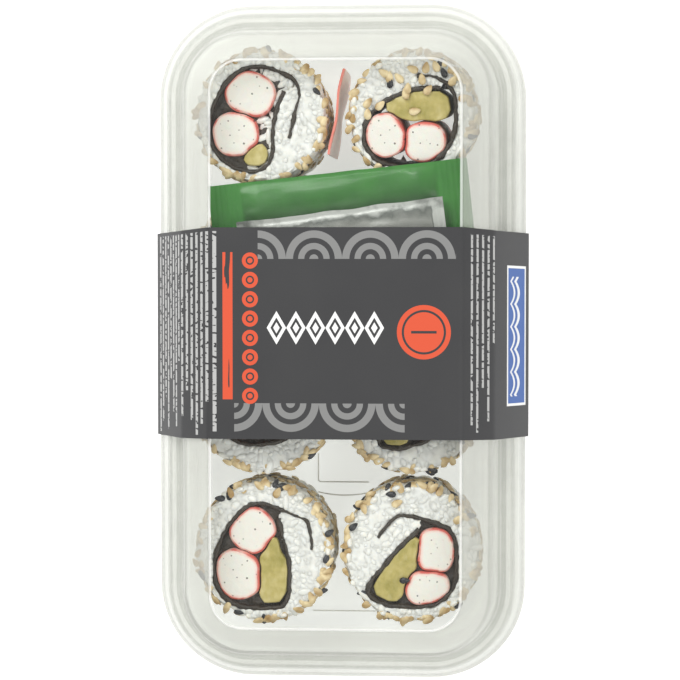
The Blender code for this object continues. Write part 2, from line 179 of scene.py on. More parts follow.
# %% Clear plastic
def clear_plastic(name, haze, tone, edge_on, tint):
    """Thin plastic: how milky it is face on, its tone, its gloss edge on and its tint."""
    material, at = new_material(name, (0.9, 0.92, 0.91))
    turning = at.node("ShaderNodeLayerWeight", {}, {"Blend": 0.5}, output=1)
    drawn = at.noise(130, detail=3)
    solid = turning ** 2.5 * edge_on + (drawn * 0.3 + 0.85) * haze
    scuffs = at.noise(900, detail=4, stretch=(1, 1, 0.3))
    set_surface(at, {"Base Color": (*tone, 1), "Roughness": scuffs * 0.10 + 0.06, "IOR": 1.5},
                see_through=solid, tint=tint)
    return material


FINISH = {
    "window": clear_plastic("clear_window", 0.012, (0.80, 0.81, 0.79), 0.5, (0.985, 0.99, 0.985)),
    "formed": clear_plastic("formed_plastic", 0.30, (0.64, 0.645, 0.605), 0.2, (0.912, 0.917, 0.898)),
    # The ridge finish is pale and nearly solid: a painted highlight, the white line of light along the
    # window's edge.
    "ridge": clear_plastic("ridge_plastic", 0.42, (0.93, 0.935, 0.91), 0.2, (0.98, 0.98, 0.97)),
    # The bend finish is darker than the formed sheet: painted shade, the dark lines along the lid's bends.
    "bend": clear_plastic("painted_shade_bend_plastic", 0.32, (0.48, 0.485, 0.455), 0.2, (0.87, 0.875, 0.855)),
    "tray": clear_plastic("tray_plastic", 0.045, (0.80, 0.805, 0.78), 0.2, (0.985, 0.99, 0.98)),
    "rib": clear_plastic("rib_plastic", 1.3, (0.92, 0.925, 0.90), 0.0, (0.98, 0.98, 0.97)),
}
print("plastics:", ", ".join(FINISH))


# %% Food finishes
def rice_finish():
    material, at = new_material("rice", (0.8, 0.8, 0.75))
    blotch = at.noise(420, detail=2)
    fine = at.noise(2600, detail=2)
    tone = blotch.choose((0.70, 0.685, 0.62), (0.92, 0.905, 0.85))
    set_surface(at, {"Base Color": tone, "Roughness": fine * 0.25 + 0.24,
                     "Subsurface Weight": 0.35, "Subsurface Scale": 0.001,
                     "Subsurface Radius": (1.0, 0.85, 0.7)}, bump=fine, bump_mm=0.07)
    return material


def nori_finish():
    material, at = new_material("nori", (0.02, 0.02, 0.015))
    crinkle = at.noise(1500, detail=4)
    brown = at.noise(330, detail=2).choose((0.022, 0.018, 0.012), (0.075, 0.048, 0.022))
    tone = crinkle.choose((0.007, 0.006, 0.005), brown)
    set_surface(at, {"Base Color": tone, "Roughness": crinkle * 0.4 + 0.25}, bump=crinkle, bump_mm=0.25)
    return material


def stick_finish():
    """Crab stick: pale flesh with pepper specks inside a patchy red skin."""
    material, at = new_material("crab_stick", (0.85, 0.7, 0.62))
    fibres = at.noise(1400, detail=4, stretch=(1, 1, 0.12))
    patches = at.noise(230, detail=2)
    redness = at.painted("skin") * (patches * 2.4 - 0.32)
    tone = redness.ramp([(0.10, (0.76, 0.735, 0.67)), (0.42, (0.80, 0.64, 0.57)),
                         (0.74, (0.76, 0.37, 0.31)), (0.98, (0.64, 0.14, 0.11))])
    dots = at.node("ShaderNodeTexVoronoi", {"voronoi_dimensions": "2D"}, {"Vector": at, "Scale": 300.0})
    pepper = (dots + at.noise(900, detail=1) * 0.16) < 0.13
    tone = (pepper * 0.8).choose(tone, (0.03, 0.025, 0.02))
    set_surface(at, {"Base Color": tone, "Roughness": fibres * 0.2 + 0.30, "Subsurface Weight": 0.2,
                     "Subsurface Scale": 0.001}, bump=fibres, bump_mm=0.08)
    return material


def pickle_finish():
    material, at = new_material("pickle", (0.5, 0.42, 0.14))
    blotch = at.noise(170, detail=3)
    strand = at.noise(900, detail=3, stretch=(1, 0.4, 1))
    tone = (blotch * 0.75 + strand * 0.25).ramp(
        [(0.30, (0.27, 0.235, 0.045)), (0.5, (0.44, 0.365, 0.115)), (0.72, (0.60, 0.52, 0.25))])
    set_surface(at, {"Base Color": tone, "Roughness": strand * 0.3 + 0.22}, bump=strand, bump_mm=0.06)
    return material


def seed_finish(name, dark, light):
    material, at = new_material(name, light)
    tone = (at.noise(330, detail=1) * 2.6 - 0.8).choose(dark, light)
    set_surface(at, {"Base Color": tone, "Roughness": at.noise(2000) * 0.2 + 0.33})
    return material


FINISH["rice"] = rice_finish()
FINISH["nori"] = nori_finish()
FINISH["stick"] = stick_finish()
FINISH["pickle"] = pickle_finish()
FINISH["golden_seed"] = seed_finish("golden_seed", (0.37, 0.225, 0.075), (0.78, 0.64, 0.38))
FINISH["black_seed"] = seed_finish("black_seed", (0.008, 0.008, 0.010), (0.030, 0.030, 0.034))
print("food finishes:", ", ".join(list(FINISH)[6:]))

# %% [markdown]
# ## Print on the card
#
# The card is printed, so its design belongs in its colour and not in its shape. Each mark is a
# mask made from two lengths in millimetres: u goes round the pack from the middle of its top, and
# v goes along it. The marks are plain bars, rings, lozenges and the old wave pattern.

# %% Inks and masks
PALE_INK = (0.42, 0.42, 0.41)
GREY_INK = (0.205, 0.205, 0.20)
WHITE_INK = (0.78, 0.78, 0.76)
ORANGE_INK = (0.62, 0.072, 0.022)
BLUE_INK = (0.035, 0.105, 0.34)
CARD_BLACK = (0.022, 0.022, 0.0240)
CARD_WORN = (0.034, 0.034, 0.0345)


def between(value, low, high):
    """1 where a wire lies between two values, else 0."""
    return (value > low) * (value < high)


def patch(u, v, box):
    """1 inside a rectangle of left, right, bottom and top."""
    return between(u, box[0], box[1]) * between(v, box[2], box[3])


def distance(u, v):
    """How far a place is from where u and v are both nought."""
    squared = u * u + v * v
    return squared.math("SQRT", squared)


print("card ink and mask helpers ready")


# %% Marks
# Places and sizes are in millimetres on the unrolled card.
UPPER_WAVES = (-20.6, 32.4, 20.0, 31.0)
LOWER_WAVES = (-27.0, 18.8, -27.0, -15.0)
UPPER_BASE = 22.0
LOWER_BASE = 16.4
STRIPE = (-30.1, -27.4, -15.4, 23.8)
RINGS_AT = (-22.7, -14.46)
RING_STEP = 5.146
RINGS_REACH = (-16.8, 23.9)
DISC_AT = (23.9, 2.6)
DISC_RADIUS = 7.2
LOZENGES_AT = (-15.575, 3.7)
LOZENGE_STEP = 5.25
LOZENGES_REACH = (-18.2, 13.3)
LABEL = (53.6, 64.9, -17.2, 21.2)
LABEL_FIELD = (54.3, 64.2, -16.5, 20.5)
LABEL_WAVES = (55.4, 63.4, -14.6, 18.2)


def wave_scales(u, v, size, base):
    """The traditional wave pattern: one row of half rings that stand on a line."""
    rise = v - base
    away = distance(u.folded(size), rise)
    outer = between(away, size * 0.74, size)
    inner = between(away, size * 0.34, size * 0.56)
    return (outer + inner + (away < size * 0.16)) * (rise > 0)


def ring_row(u, v):
    """Small rings in a row along the pack."""
    across = u - RINGS_AT[0]
    along = (v - RINGS_AT[1]).folded(RING_STEP / 2)
    away = across * across + along * along
    return ((away < 4.6) - between(away, 0.5, 1.3)) * between(v, *RINGS_REACH)


def round_mark(u, v):
    """A disc with a thin ring and a bar left out of it."""
    across, along = u - DISC_AT[0], v - DISC_AT[1]
    away = distance(across, along)
    disc = (away < DISC_RADIUS) - between(away, 5.3, 5.9)
    return disc * (1 - patch(across, along, (-3.4, 3.4, -0.35, 0.35)))


def lozenge_row(u, v):
    """A chain of lozenges across the top panel, each with a lozenge left out of it."""
    rise = v - LOZENGES_AT[1]
    away = (u - LOZENGES_AT[0]).folded(LOZENGE_STEP / 2) * 1.7 + rise.math("ABSOLUTE", rise)
    return ((away < 4.45) - between(away, 1.5, 2.75)) * between(u, *LOZENGES_REACH)


def lines_of_print(u, v, first, count, pitch, weight, reach, gaps):
    """Fine pale bars that run along v, broken up as words are, with no letters."""
    lines = 0
    for k in range(count):
        middle = first + pitch * k
        start = reach[0] + gaps[k % len(gaps)]
        lines = lines + patch(u, v, (middle - weight / 2, middle + weight / 2, start, reach[1]))
    grain = u.node("ShaderNodeCombineXYZ", {}, {0: v * 1.1, 1: u * 0.43})
    grain = grain.node("ShaderNodeTexNoise", {}, {"Vector": grain, "Scale": 1.0, "Detail": 1.0})
    return lines * (grain > 0.41)


def label_waves(u, v):
    """Two wavy lines for the label."""
    along = (v - 1.4).folded(3.1)
    across = u - 60.6 + along * along * 0.22
    waves = between(across, -0.7, 0.7) + between(across + 2.6, -0.5, 0.5)
    return waves * patch(u, v, LABEL_WAVES)


print("marks reach from", LOWER_WAVES[2], "to", UPPER_WAVES[3], "mm along the pack")


# %% Printed card
def card_finish():
    material, at = new_material("printed_card", CARD_BLACK)
    sheet = at.node("ShaderNodeUVMap", {"uv_map": "unrolled"})
    u = sheet.node("ShaderNodeSeparateXYZ", {}, {0: sheet}) * 100
    v = sheet.node("ShaderNodeSeparateXYZ", {}, {0: sheet}, output=1) * 100
    ink = at.noise(55, detail=2).choose(CARD_BLACK, CARD_WORN)
    upper = wave_scales(u - UPPER_WAVES[0], v, 7.55, UPPER_BASE) * patch(u, v, UPPER_WAVES)
    lower = wave_scales(u - LOWER_WAVES[0], v * -1.0, 7.6, LOWER_BASE) * patch(u, v, LOWER_WAVES)
    ink = (upper + lower).choose(ink, GREY_INK)
    brushed = at.noise(700, detail=2, stretch=(1, 0.08, 1)) > 0.40
    stripe = patch(u, v, STRIPE) * brushed
    ink = (stripe + ring_row(u, v) + round_mark(u, v)).choose(ink, ORANGE_INK)
    ink = lozenge_row(u, v).choose(ink, WHITE_INK)
    left_gaps = (0, 3, 9, 1, 15, 6, 2, 20, 5, 12, 4)
    left = lines_of_print(u, v, -63.8, 15, 2.25, 1.05, (-25.0, 29.4), left_gaps)
    right = lines_of_print(u, v, 37.6, 5, 2.1, 0.8, (-24.0, 28.8), (2, 0, 12, 3, 24, 6))
    ink = (left + right).choose(ink, PALE_INK)
    label = patch(u, v, LABEL)
    border = label - patch(u, v, LABEL_FIELD)
    ink = label.choose(ink, BLUE_INK)
    ink = (border + label_waves(u, v) * 0.9).choose(ink, WHITE_INK)
    mottle = at.noise(2400, detail=3)
    set_surface(at, {"Base Color": ink, "Roughness": mottle * 0.12 + 0.52}, bump=mottle, bump_mm=0.02)
    return material


def plain_card_finish():
    material, at = new_material("plain_card", (0.5, 0.5, 0.48))
    fibre = at.noise(1500, detail=4)
    tone = fibre.choose((0.40, 0.395, 0.37), (0.56, 0.55, 0.52))
    set_surface(at, {"Base Color": tone, "Roughness": 0.8}, bump=fibre, bump_mm=0.05)
    return material


FINISH["printed_card"] = card_finish()
FINISH["plain_card"] = plain_card_finish()
print("card finishes made, with", len(FINISH), "finishes so far")


# %% Sachets, slice and floor finishes
def green_film_finish():
    """Green film, darker where the dark filling shows through it, and lighter in a wide band along its long
    edges, a painted highlight.
    """
    material, at = new_material("green_film", (0.05, 0.20, 0.04))
    crinkle = at.noise(300, detail=4)
    blotch = at.noise(190, detail=4)
    sealed_tone = blotch.choose((0.018, 0.135, 0.014), (0.046, 0.235, 0.030))
    filled_tone = blotch.choose((0.004, 0.014, 0.004), (0.028, 0.080, 0.022))
    # The fill value's slow climb from the long edges paints a lighter band along them, a painted highlight.
    tone = at.painted("filled").choose(sealed_tone, filled_tone)
    set_surface(at, {"Base Color": tone, "Roughness": crinkle * 0.22 + 0.30, "IOR": 1.4,
                     "Coat Weight": 0.3, "Coat Roughness": 0.12}, bump=crinkle, bump_mm=0.16)
    return material


def silver_film_finish():
    material, at = new_material("silver_film", (0.45, 0.46, 0.43))
    crinkle = at.noise(330, detail=5)
    streak = at.noise(120, detail=3, stretch=(0.35, 1, 1))
    # The ramp over the fill value paints a light line at the seal and a dark band just inside it: a painted
    # highlight and painted shade at the seal's step. The noise adds darker and lighter streaks.
    inward = at.painted("filled") + (crinkle * 0.35 + streak * 0.65) * 0.9 - 0.42
    tone = inward.ramp([(0.01, (0.46, 0.47, 0.44)), (0.12, (0.12, 0.13, 0.115)),
                        (0.30, (0.28, 0.285, 0.26)), (0.60, (0.18, 0.185, 0.165)),
                        (1.0, (0.33, 0.335, 0.305))])
    set_surface(at, {"Base Color": tone, "Roughness": crinkle * 0.25 + 0.22, "Metallic": 0.25,
                     "Coat Weight": 0.4, "Coat Roughness": 0.2}, bump=crinkle, bump_mm=0.12)
    return material


def slice_finish():
    """A pale pink slice with a red upper edge."""
    material, at = new_material("pink_slice", (0.8, 0.35, 0.32))
    height = at.node("ShaderNodeSeparateXYZ", {}, {0: at}, output=2)
    grain = at.noise(500, detail=3, stretch=(1, 1, 0.3))
    redness = (height * 1000 - 26.0 + grain * 2.4) * 0.6
    pale = (grain * 2.0 - 0.5).choose((0.95, 0.64, 0.58), (0.96, 0.84, 0.79))
    tone = redness.node("ShaderNodeClamp", {}, {"Value": redness}).choose(pale, (0.72, 0.22, 0.17))
    set_surface(at, {"Base Color": tone, "Roughness": grain * 0.2 + 0.28, "Subsurface Weight": 0.1,
                     "Subsurface Scale": 0.001}, bump=grain, bump_mm=0.12)
    return material


def floor_finish():
    material, at = new_material("pale_floor", (0.9, 0.9, 0.9))
    fine = at.noise(300, detail=2)
    tone = fine.choose((0.895, 0.895, 0.895), (0.92, 0.92, 0.92))
    set_surface(at, {"Base Color": tone, "Roughness": 0.85, "Emission Color": (1.0, 1.0, 0.99, 1),
                     "Emission Strength": 0.5})
    return material


FINISH["green_film"] = green_film_finish()
FINISH["silver_film"] = silver_film_finish()
FINISH["slice"] = slice_finish()
FINISH["floor"] = floor_finish()
print(len(FINISH), "finishes made")

# %% [markdown]
# ## Making a piece
#
# All shapes below are lists of points in millimetres and faces over them. One function turns them
# into a mesh object, which rides on the pack's only body and may stand for one or more of the
# frame's solids.

# %% Piece maker
def make_piece(name, verts, faces, finishes, slot, stands_for=(), place=None, face_finish=None,
               sharp_deg=50):
    """A smooth-shaded mesh piece from millimetre points, placed by a matrix in metres."""
    mesh = bpy.data.meshes.new(name)
    mesh.from_pydata((np.asarray(verts, dtype=float) * MM).tolist(), [], faces)
    for finish in finishes:
        mesh.materials.append(FINISH[finish])
    if face_finish is not None:
        mesh.polygons.foreach_set("material_index", np.asarray(face_finish, dtype=np.int32))
    mesh.shade_smooth()
    mesh.set_sharp_from_angle(angle=math.radians(sharp_deg))
    piece = bpy.data.objects.new(name, mesh)
    bpy.context.scene.collection.objects.link(piece)
    if place is not None:
        piece.matrix_world = place
    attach(piece, "root")
    if stands_for:
        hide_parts(*stands_for)
    return piece


def keep_values(piece, name, values):
    """Keep one value for each of a piece's points, for its finish to read."""
    layer = piece.data.attributes.new(name, "FLOAT", "POINT")
    layer.data.foreach_set("value", values)


# %% Paths, rings and sheets
def offset_path(points, amount, closed=False):
    """The points of a path moved to its left by an amount, with mitred bends."""
    points = np.asarray(points, dtype=float)
    steps = np.roll(points, -1, 0) - points
    normals = np.stack([-steps[:, 1], steps[:, 0]], 1)
    normals /= np.maximum(np.linalg.norm(normals, axis=1, keepdims=True), 1e-9)
    before = np.roll(normals, 1, 0)
    if not closed:
        before[0] = normals[0]
        normals[-1] = before[-1]
    middle = before + normals
    middle /= np.linalg.norm(middle, axis=1, keepdims=True)
    stretch = np.maximum((middle * normals).sum(1, keepdims=True), 0.5)
    return points + middle * amount / stretch


def softened(points, cut):
    """A path with each bend replaced by a short curve that starts a cut away from it."""
    soft = [np.array(points[0], dtype=float)]
    for a, b, c in zip(points, points[1:], points[2:]):
        a, b, c = (np.array(p, dtype=float) for p in (a, b, c))
        near = min(cut, 0.45 * np.linalg.norm(b - a), 0.45 * np.linalg.norm(c - b))
        start = b + (a - b) / np.linalg.norm(a - b) * near
        end = b + (c - b) / np.linalg.norm(c - b) * near
        for t in (0.0, 0.33, 0.67, 1.0):
            soft.append((1 - t) ** 2 * start + 2 * t * (1 - t) * b + t * t * end)
    soft.append(np.array(points[-1], dtype=float))
    return soft


def ring_walls(first, count):
    """Faces between a closed ring of points and the ring that follows it."""
    ring = [(first + i, first + (i + 1) % count) for i in range(count)]
    return [(a, b, b + count, a + count) for a, b in ring]


def join_on(verts, faces, more_verts, more_faces):
    """Add a second list of points and faces to a first one."""
    shift = len(verts)
    verts += more_verts
    faces += [tuple(i + shift for i in face) for face in more_faces]


def thin_sheet(steps, rows, spot):
    """Both sides of a sheet over a grid, and the wall round its edge."""
    verts = [spot(side, i, j) for side in (1, -1) for i in range(steps) for j in range(rows)]
    half = steps * rows
    faces = []
    for i in range(steps - 1):
        for a in range(i * rows, (i + 1) * rows - 1):
            b = a + rows
            faces.append((a, b, b + 1, a + 1))
            faces.append((half + a, half + a + 1, half + b + 1, half + b))
    border = [i * rows for i in range(steps)] + list(range(half - rows + 1, half))
    border += [i * rows + rows - 1 for i in range(steps - 2, -1, -1)] + list(range(rows - 2, 0, -1))
    faces += [(a, half + a, half + b, b) for a, b in zip(border, border[1:] + border[:1])]
    return verts, faces


print("piece and mesh helpers ready")

# %% [markdown]
# ## Tray and lid
#
# Both are thin sheets formed over one rounded rectangle, so a single profile swept round it makes
# each of them. The bends get short curves, because real formed sheet has no sharp folds, and
# they catch the light. On the lid the bends also carry a darker finish, which is painted shade,
# and the ridge round the window carries a pale one, which is a painted highlight. With the light,
# they draw the pack's outlines in the photograph.

# %% Sweep the plastic
_, lid_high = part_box("lid")
RIM_HALF_X = lid_high[0] / MM + 0.25
RIM_HALF_Y = lid_high[1] / MM + 0.25
RIM_RADIUS = 26.5
CORNER_STEPS = 14
SHEET = 0.45
LID_TOP = lid_high[2] / MM
LID_PROFILE = [
    (18.2, LID_TOP - 0.4, "window"), (17.95, LID_TOP - 0.1, "ridge"), (17.55, LID_TOP - 0.15, "ridge"),
    (17.2, LID_TOP - 0.65, "formed"), (9.9, 28.9, "formed"), (9.0, 27.4, "formed"), (7.75, 17.4, "formed"),
    (7.4, 16.25, "formed"), (6.6, 16.2, "formed"), (5.9, 16.55, "formed"), (3.9, 16.55, "formed"),
    (3.2, 15.9, "formed"), (1.4, 12.0, "formed"), (1.0, 10.95, "formed"), (0.25, 10.6, "formed"),
]
TRAY_PROFILE = [
    (12.6, 1.55, "tray"), (11.2, 2.0, "tray"), (10.4, 3.8, "tray"), (9.2, 14.6, "tray"),
    (8.4, 15.1, "tray"), (4.4, 15.25, "tray"), (3.9, 14.9, "tray"), (2.3, 11.3, "tray"),
]
SHEET_FINISHES = ["window", "formed", "ridge", "bend", "tray"]
# The lid's formed bends take the darker bend finish, which is painted shade. Its ridge bends keep the
# painted highlight.
BEND_OF = {"window": 0, "formed": 3, "ridge": 2, "tray": 4}


def rim_loop(inset, height):
    """The pack's rounded rectangle, drawn in from the rim by an inset."""
    radius = RIM_RADIUS - inset
    loop = []
    for quarter, (sign_x, sign_y) in enumerate(((1, 1), (-1, 1), (-1, -1), (1, -1))):
        for step in range(CORNER_STEPS + 1):
            angle = math.pi / 2 * (quarter + step / CORNER_STEPS)
            loop.append((sign_x * (RIM_HALF_X - RIM_RADIUS) + radius * math.cos(angle),
                         sign_y * (RIM_HALF_Y - RIM_RADIUS) + radius * math.sin(angle), height))
    return loop


def sweep_sheet(name, profile, cut):
    """Thin plastic: a softened profile swept round the pack, with its lower face below."""
    upper = softened([(inset, z) for inset, z, _ in profile], cut)
    lower = offset_path(upper, SHEET)
    bands = [SHEET_FINISHES.index(profile[0][2])]
    for _, _, finish in profile[1:-1]:
        bands += [BEND_OF[finish]] * 3 + [SHEET_FINISHES.index(finish)]
    bands += [bands[-1]] + bands[::-1]
    loops = [rim_loop(inset, z) for inset, z in upper]
    loops += [rim_loop(inset, z) for inset, z in lower[::-1]]
    size = len(loops[0])
    verts = [point for loop in loops for point in loop]
    faces = [tuple(range(size))]
    faces.append(tuple(range(len(verts) - 1, len(verts) - size - 1, -1)))
    finish = [0, 0]
    for k in range(len(loops) - 1):
        faces += [(a, d, c, b) for a, b, c, d in ring_walls(k * size, size)]
        finish += [bands[k]] * size
    return make_piece(name, verts, faces, SHEET_FINISHES, "clear_plastic", [name.split("_")[0]],
                      face_finish=finish)


sweep_sheet("lid_sheet", LID_PROFILE, 0.7)
sweep_sheet("tray_sheet", TRAY_PROFILE, 0.7)


def floor_ribs():
    """Fine raised lines on the tray's floor, between the rolls."""
    lines = []
    for end in (1, -1):
        lines.append([(-7.4, end * 32.0), (-7.4, end * 39.6), (-6.9, end * 40.1), (7.0, end * 40.1)])
        lines.append([(k * 1.5, end * (43.9 - 0.016 * (k * 1.5) ** 2)) for k in range(-5, 6)])
    lines.append([(-9.0, -77.0), (9.0, -77.0)])
    verts, faces = [], []
    for line in lines:
        left, right = offset_path(line, 0.19), offset_path(line, -0.19)
        first = len(verts)
        for (lx, ly), (mx, my), (rx, ry) in zip(left, line, right):
            verts += [(lx, ly, 1.6), (mx, my, 1.82), (rx, ry, 1.6)]
        for i in range(len(line) - 1):
            for k in range(3):
                a, b = first + 3 * i + k, first + 3 * i + (k + 1) % 3
                faces.append((a, b, b + 3, a + 3))
        faces += [(first, first + 2, first + 1), (len(verts) - 3, len(verts) - 2, len(verts) - 1)]
    make_piece("tray_ribs", verts, faces, ["rib"], "clear_plastic")


floor_ribs()
print("rim is", round(2 * RIM_HALF_X, 1), "by", round(2 * RIM_HALF_Y, 1), "mm")

# %% [markdown]
# ## Card sleeve
#
# The band is one strip of card folded round the pack. Its cross-section is read as a path, its
# folds are softened, and the length along that path becomes the print's own coordinate, so that
# the print isn't stretched where the card slopes. The glued lap is underneath.

# %% Fold the sleeve
sleeve_low, sleeve_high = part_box("sleeve")
CARD = 0.45
SLEEVE_TOP = sleeve_high[2] / MM - CARD
SLEEVE_Y = (sleeve_low[1] / MM, sleeve_high[1] / MM)
SLEEVE_HALF = [(33.9, SLEEVE_TOP), (42.3, 28.75), (51.75, 10.4), (51.2, 9.4), (40.3, CARD)]
FOLD = 0.9


SLEEVE_ROWS = 9


def make_sleeve():
    """The band's outer and inner faces and cut edges, with its unrolled lengths as a UV."""
    right = [tuple(p) for p in softened([(0, SLEEVE_TOP)] + SLEEVE_HALF + [(0, CARD)], FOLD)]
    inner = np.array(right + [(-x, z) for x, z in reversed(right[1:-1])])
    outer = offset_path(inner, CARD, closed=True)
    count = len(inner)
    half = SLEEVE_ROWS * count
    steps = np.linalg.norm(np.roll(outer, -1, 0) - outer, axis=1)
    round_way = np.cumsum(steps) - steps
    round_way[round_way > steps.sum() / 2] -= steps.sum()
    along = np.linspace(*SLEEVE_Y, SLEEVE_ROWS)
    verts, faces, finish, unrolled = [], [], [], []
    for shell in (outer, inner):
        for r in range(SLEEVE_ROWS):
            for x, z in shell:
                lift = min(1.0, max(0.0, (51.5 - abs(x)) / 17.6)) * min(1.0, max(0.0, (z - 12) / 20))
                low, high = SLEEVE_Y[0] + 0.9 * lift, SLEEVE_Y[1] + 1.3 * lift
                verts.append((x, low + (high - low) * r / (SLEEVE_ROWS - 1), z))
    for r in range(SLEEVE_ROWS - 1):
        for i, (a, b, c, d) in enumerate(ring_walls(r * count, count)):
            start, end = round_way[i], round_way[(i + 1) % count]
            if end < start:
                end = start
            faces += [(a, b, c, d), (half + a, half + d, half + c, half + b)]
            finish += [0, 1]
            unrolled += [(start, along[r]), (end, along[r]), (end, along[r + 1]), (start, along[r + 1])]
            unrolled += [(0, 0)] * 4
    for r in (0, SLEEVE_ROWS - 1):
        for a, b, _, _ in ring_walls(r * count, count):
            faces.append((a, half + a, half + b, b) if r == 0 else (b, half + b, half + a, a))
            finish.append(1)
            unrolled += [(0, 0)] * 4
    sleeve = make_piece("card_sleeve", verts, faces, ["printed_card", "plain_card"], "dark_card",
                        ["sleeve"], face_finish=finish, sharp_deg=60)
    layer = sleeve.data.uv_layers.new(name="unrolled")
    layer.data.foreach_set("uv", (np.array(unrolled) / 100).astype(np.float32).ravel())


make_sleeve()
print("sleeve goes", round(SLEEVE_Y[1] - SLEEVE_Y[0], 1), "mm along the pack")

# %% [markdown]
# ## Sachets
#
# A sachet is two films sealed along their edges round a filling. The fill makes a pillow, the
# seals stay flat with fine crimped ribs, and the film puckers where pillow and seal meet. All of
# that is a height over a fine grid, so the wrinkles are real shape and catch real light.

# %% Fill the sachets
SACHETS = {
    "green_sachet": dict(size=(70.6, 44.0, 3.4), centre=(2.3, 24.8, 29.9), turn=6.1, seal=8.4, edge=5.5,
                         pucker=0.75, ripple=0.30, seed=3.1, finish="green_film"),
    "grey_sachet": dict(size=(56.0, 38.0, 2.8), centre=(3.2, 17.5, 33.2), turn=7.0, seal=3.0, edge=8.0,
                        pucker=0.35, ripple=0.55, seed=8.7, finish="silver_film"),
}
SIDE_SEAL = 1.2


def sachet_height(u, v, plan):
    """Half the sachet's thickness at a place, from -1 to 1 along its length and width."""
    length, width, thick = plan["size"]
    across = v * width / 2
    from_end = (1 - abs(u)) * length / 2 - plan["seal"]
    from_side = (1 - abs(v)) * width / 2 - SIDE_SEAL
    if from_end <= 0:
        return 0.24 + 0.12 * math.sin(2 * math.pi * (u * length / 2) / 1.45)
    if from_side <= 0:
        return 0.22
    fill = min(1.0, from_end / 5) ** 0.6 * min(1.0, from_side / plan["edge"]) ** 0.55
    near = math.exp(-from_end / 4)
    pucker = plan["pucker"] * near * noise.noise(Vector((across / 2.6, 0.3 * u * length / 4, plan["seed"])))
    ripple = plan["ripple"] * noise.noise(Vector((u * length / 22, across / 3.2, plan["seed"] + 2)))
    swell = 0.30 * noise.noise(Vector((u * 3.1, v * 2.3, plan["seed"])))
    return max(0.2, 0.2 + ((thick / 2 - 0.55) + pucker + ripple + swell) * fill)


def make_sachet(name, plan):
    """Both films over a fine grid, and for each point a fill value: how deep in the filling it lies,
    climbing slowly over 13 mm from the long edges so that the film finishes paint highlight and shade
    there.
    """
    across, along = 150, 96
    length, width, thick = plan["size"]

    def spot(side, i, j):
        u, v = 2 * i / (across - 1) - 1, 2 * j / (along - 1) - 1
        sag = 0.35 * noise.noise(Vector((u * 2.0, v * 2.0, plan["seed"] + 5)))
        wave = 0.7 * plan["ripple"] * noise.noise(Vector((u * 4, 0, plan["seed"]))) * (v * v)
        height = min(sachet_height(u, v, plan), thick / 2)
        return u * length / 2, v * width / 2 + wave, side * height + 0.5 * sag

    verts, faces = thin_sheet(across, along, spot)
    turn = Matrix.Rotation(math.radians(plan["turn"]), 4, "Z")
    film = make_piece(name + "_film", verts, faces, [plan["finish"]], plan["finish"], [name],
                      Matrix.Translation(Vector(plan["centre"]) * MM) @ turn, sharp_deg=75)
    from_end = [(length / 2 - plan["seal"] - abs(x)) / 2 for x, _, _ in verts]
    # Over 13 mm from the long edges the value climbs slowly. This paints a lighter band, a painted
    # highlight, in the green film, and a light seal line with a dark band inside it, painted shade, in the
    # silver film.
    from_side = [(width / 2 - SIDE_SEAL - abs(y)) / 13 for _, y, _ in verts]
    keep_values(film, "filled", np.clip(np.minimum(from_end, from_side), 0, 1))


for sachet_name, sachet_plan in SACHETS.items():
    make_sachet(sachet_name, sachet_plan)
print("sachets:", ", ".join(SACHETS))

# %% [markdown]
# ## Reading a roll's solids
#
# Each roll's fillings are prisms in the frame. The edge of a prism's top face is its outline, so
# the fine pieces can follow the solids exactly without a list of numbers. Seaweed is a strip, and
# its middle line comes from pairing the points of its two long sides.

# %% Outlines from solids
def welded(node):
    """A solid's points in millimetres with doubles joined, and its faces over them."""
    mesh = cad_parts[node].data
    keys, points, index = {}, [], []
    for vertex in mesh.vertices:
        key = tuple(round(c / MM, 3) for c in vertex.co)
        if key not in keys:
            keys[key] = len(points)
            points.append(key)
        index.append(keys[key])
    return np.array(points), [tuple(index[v] for v in face.vertices) for face in mesh.polygons]


def face_normal(points, face):
    a, b, c = (points[i] for i in face[:3])
    return np.cross(b - a, c - a) / 2


def up_axis(node):
    """The direction that a prism's top face looks in."""
    points, faces = welded(node)
    total = np.zeros(3)
    for face in faces:
        normal = face_normal(points, face)
        length = np.linalg.norm(normal)
        if length > 1e-9 and normal[2] / length > 0.9:
            total += normal
    return Vector(total).normalized()


def top_outline(node, place):
    """The edge of a prism's top face, in order, in a roll's own millimetres."""
    points, faces = welded(node)
    axis = np.array(place.to_3x3() @ Vector((0, 0, 1)))
    follow = {}
    for face in faces:
        normal = face_normal(points, face)
        if np.linalg.norm(normal) > 1e-9 and normal @ axis / np.linalg.norm(normal) > 0.98:
            for a, b in zip(face, face[1:] + face[:1]):
                follow.setdefault(a, []).append(b)
    edges = {(a, b) for a, ends in follow.items() for b in ends}
    rim = {a: b for a, b in edges if (b, a) not in edges}
    start = min(rim)
    order = [start]
    while rim[order[-1]] != start:
        order.append(rim[order[-1]])
    back = place.inverted()
    return np.array([(back @ (Vector(points[i]) * MM))[:2] for i in order]) / MM


def middle_line(outline, pickle):
    """A strip's middle line, from its end in the rice to its end beside the pickle."""
    count = len(outline)
    lengths = np.linalg.norm(np.roll(outline, -1, 0) - outline, axis=1)
    first, second = sorted(np.argsort(lengths)[:2])
    one = [outline[i % count] for i in range(first + 1, second + 1)]
    other = [outline[i % count] for i in range(second + 1, first + 1 + count)][::-1]
    line = (np.array(one) + np.array(other)) / 2
    away = np.linalg.norm(line - pickle.mean(0), axis=1)
    quarter = len(line) // 4
    return line[::-1] if away[:quarter].mean() < away[-quarter:].mean() else line


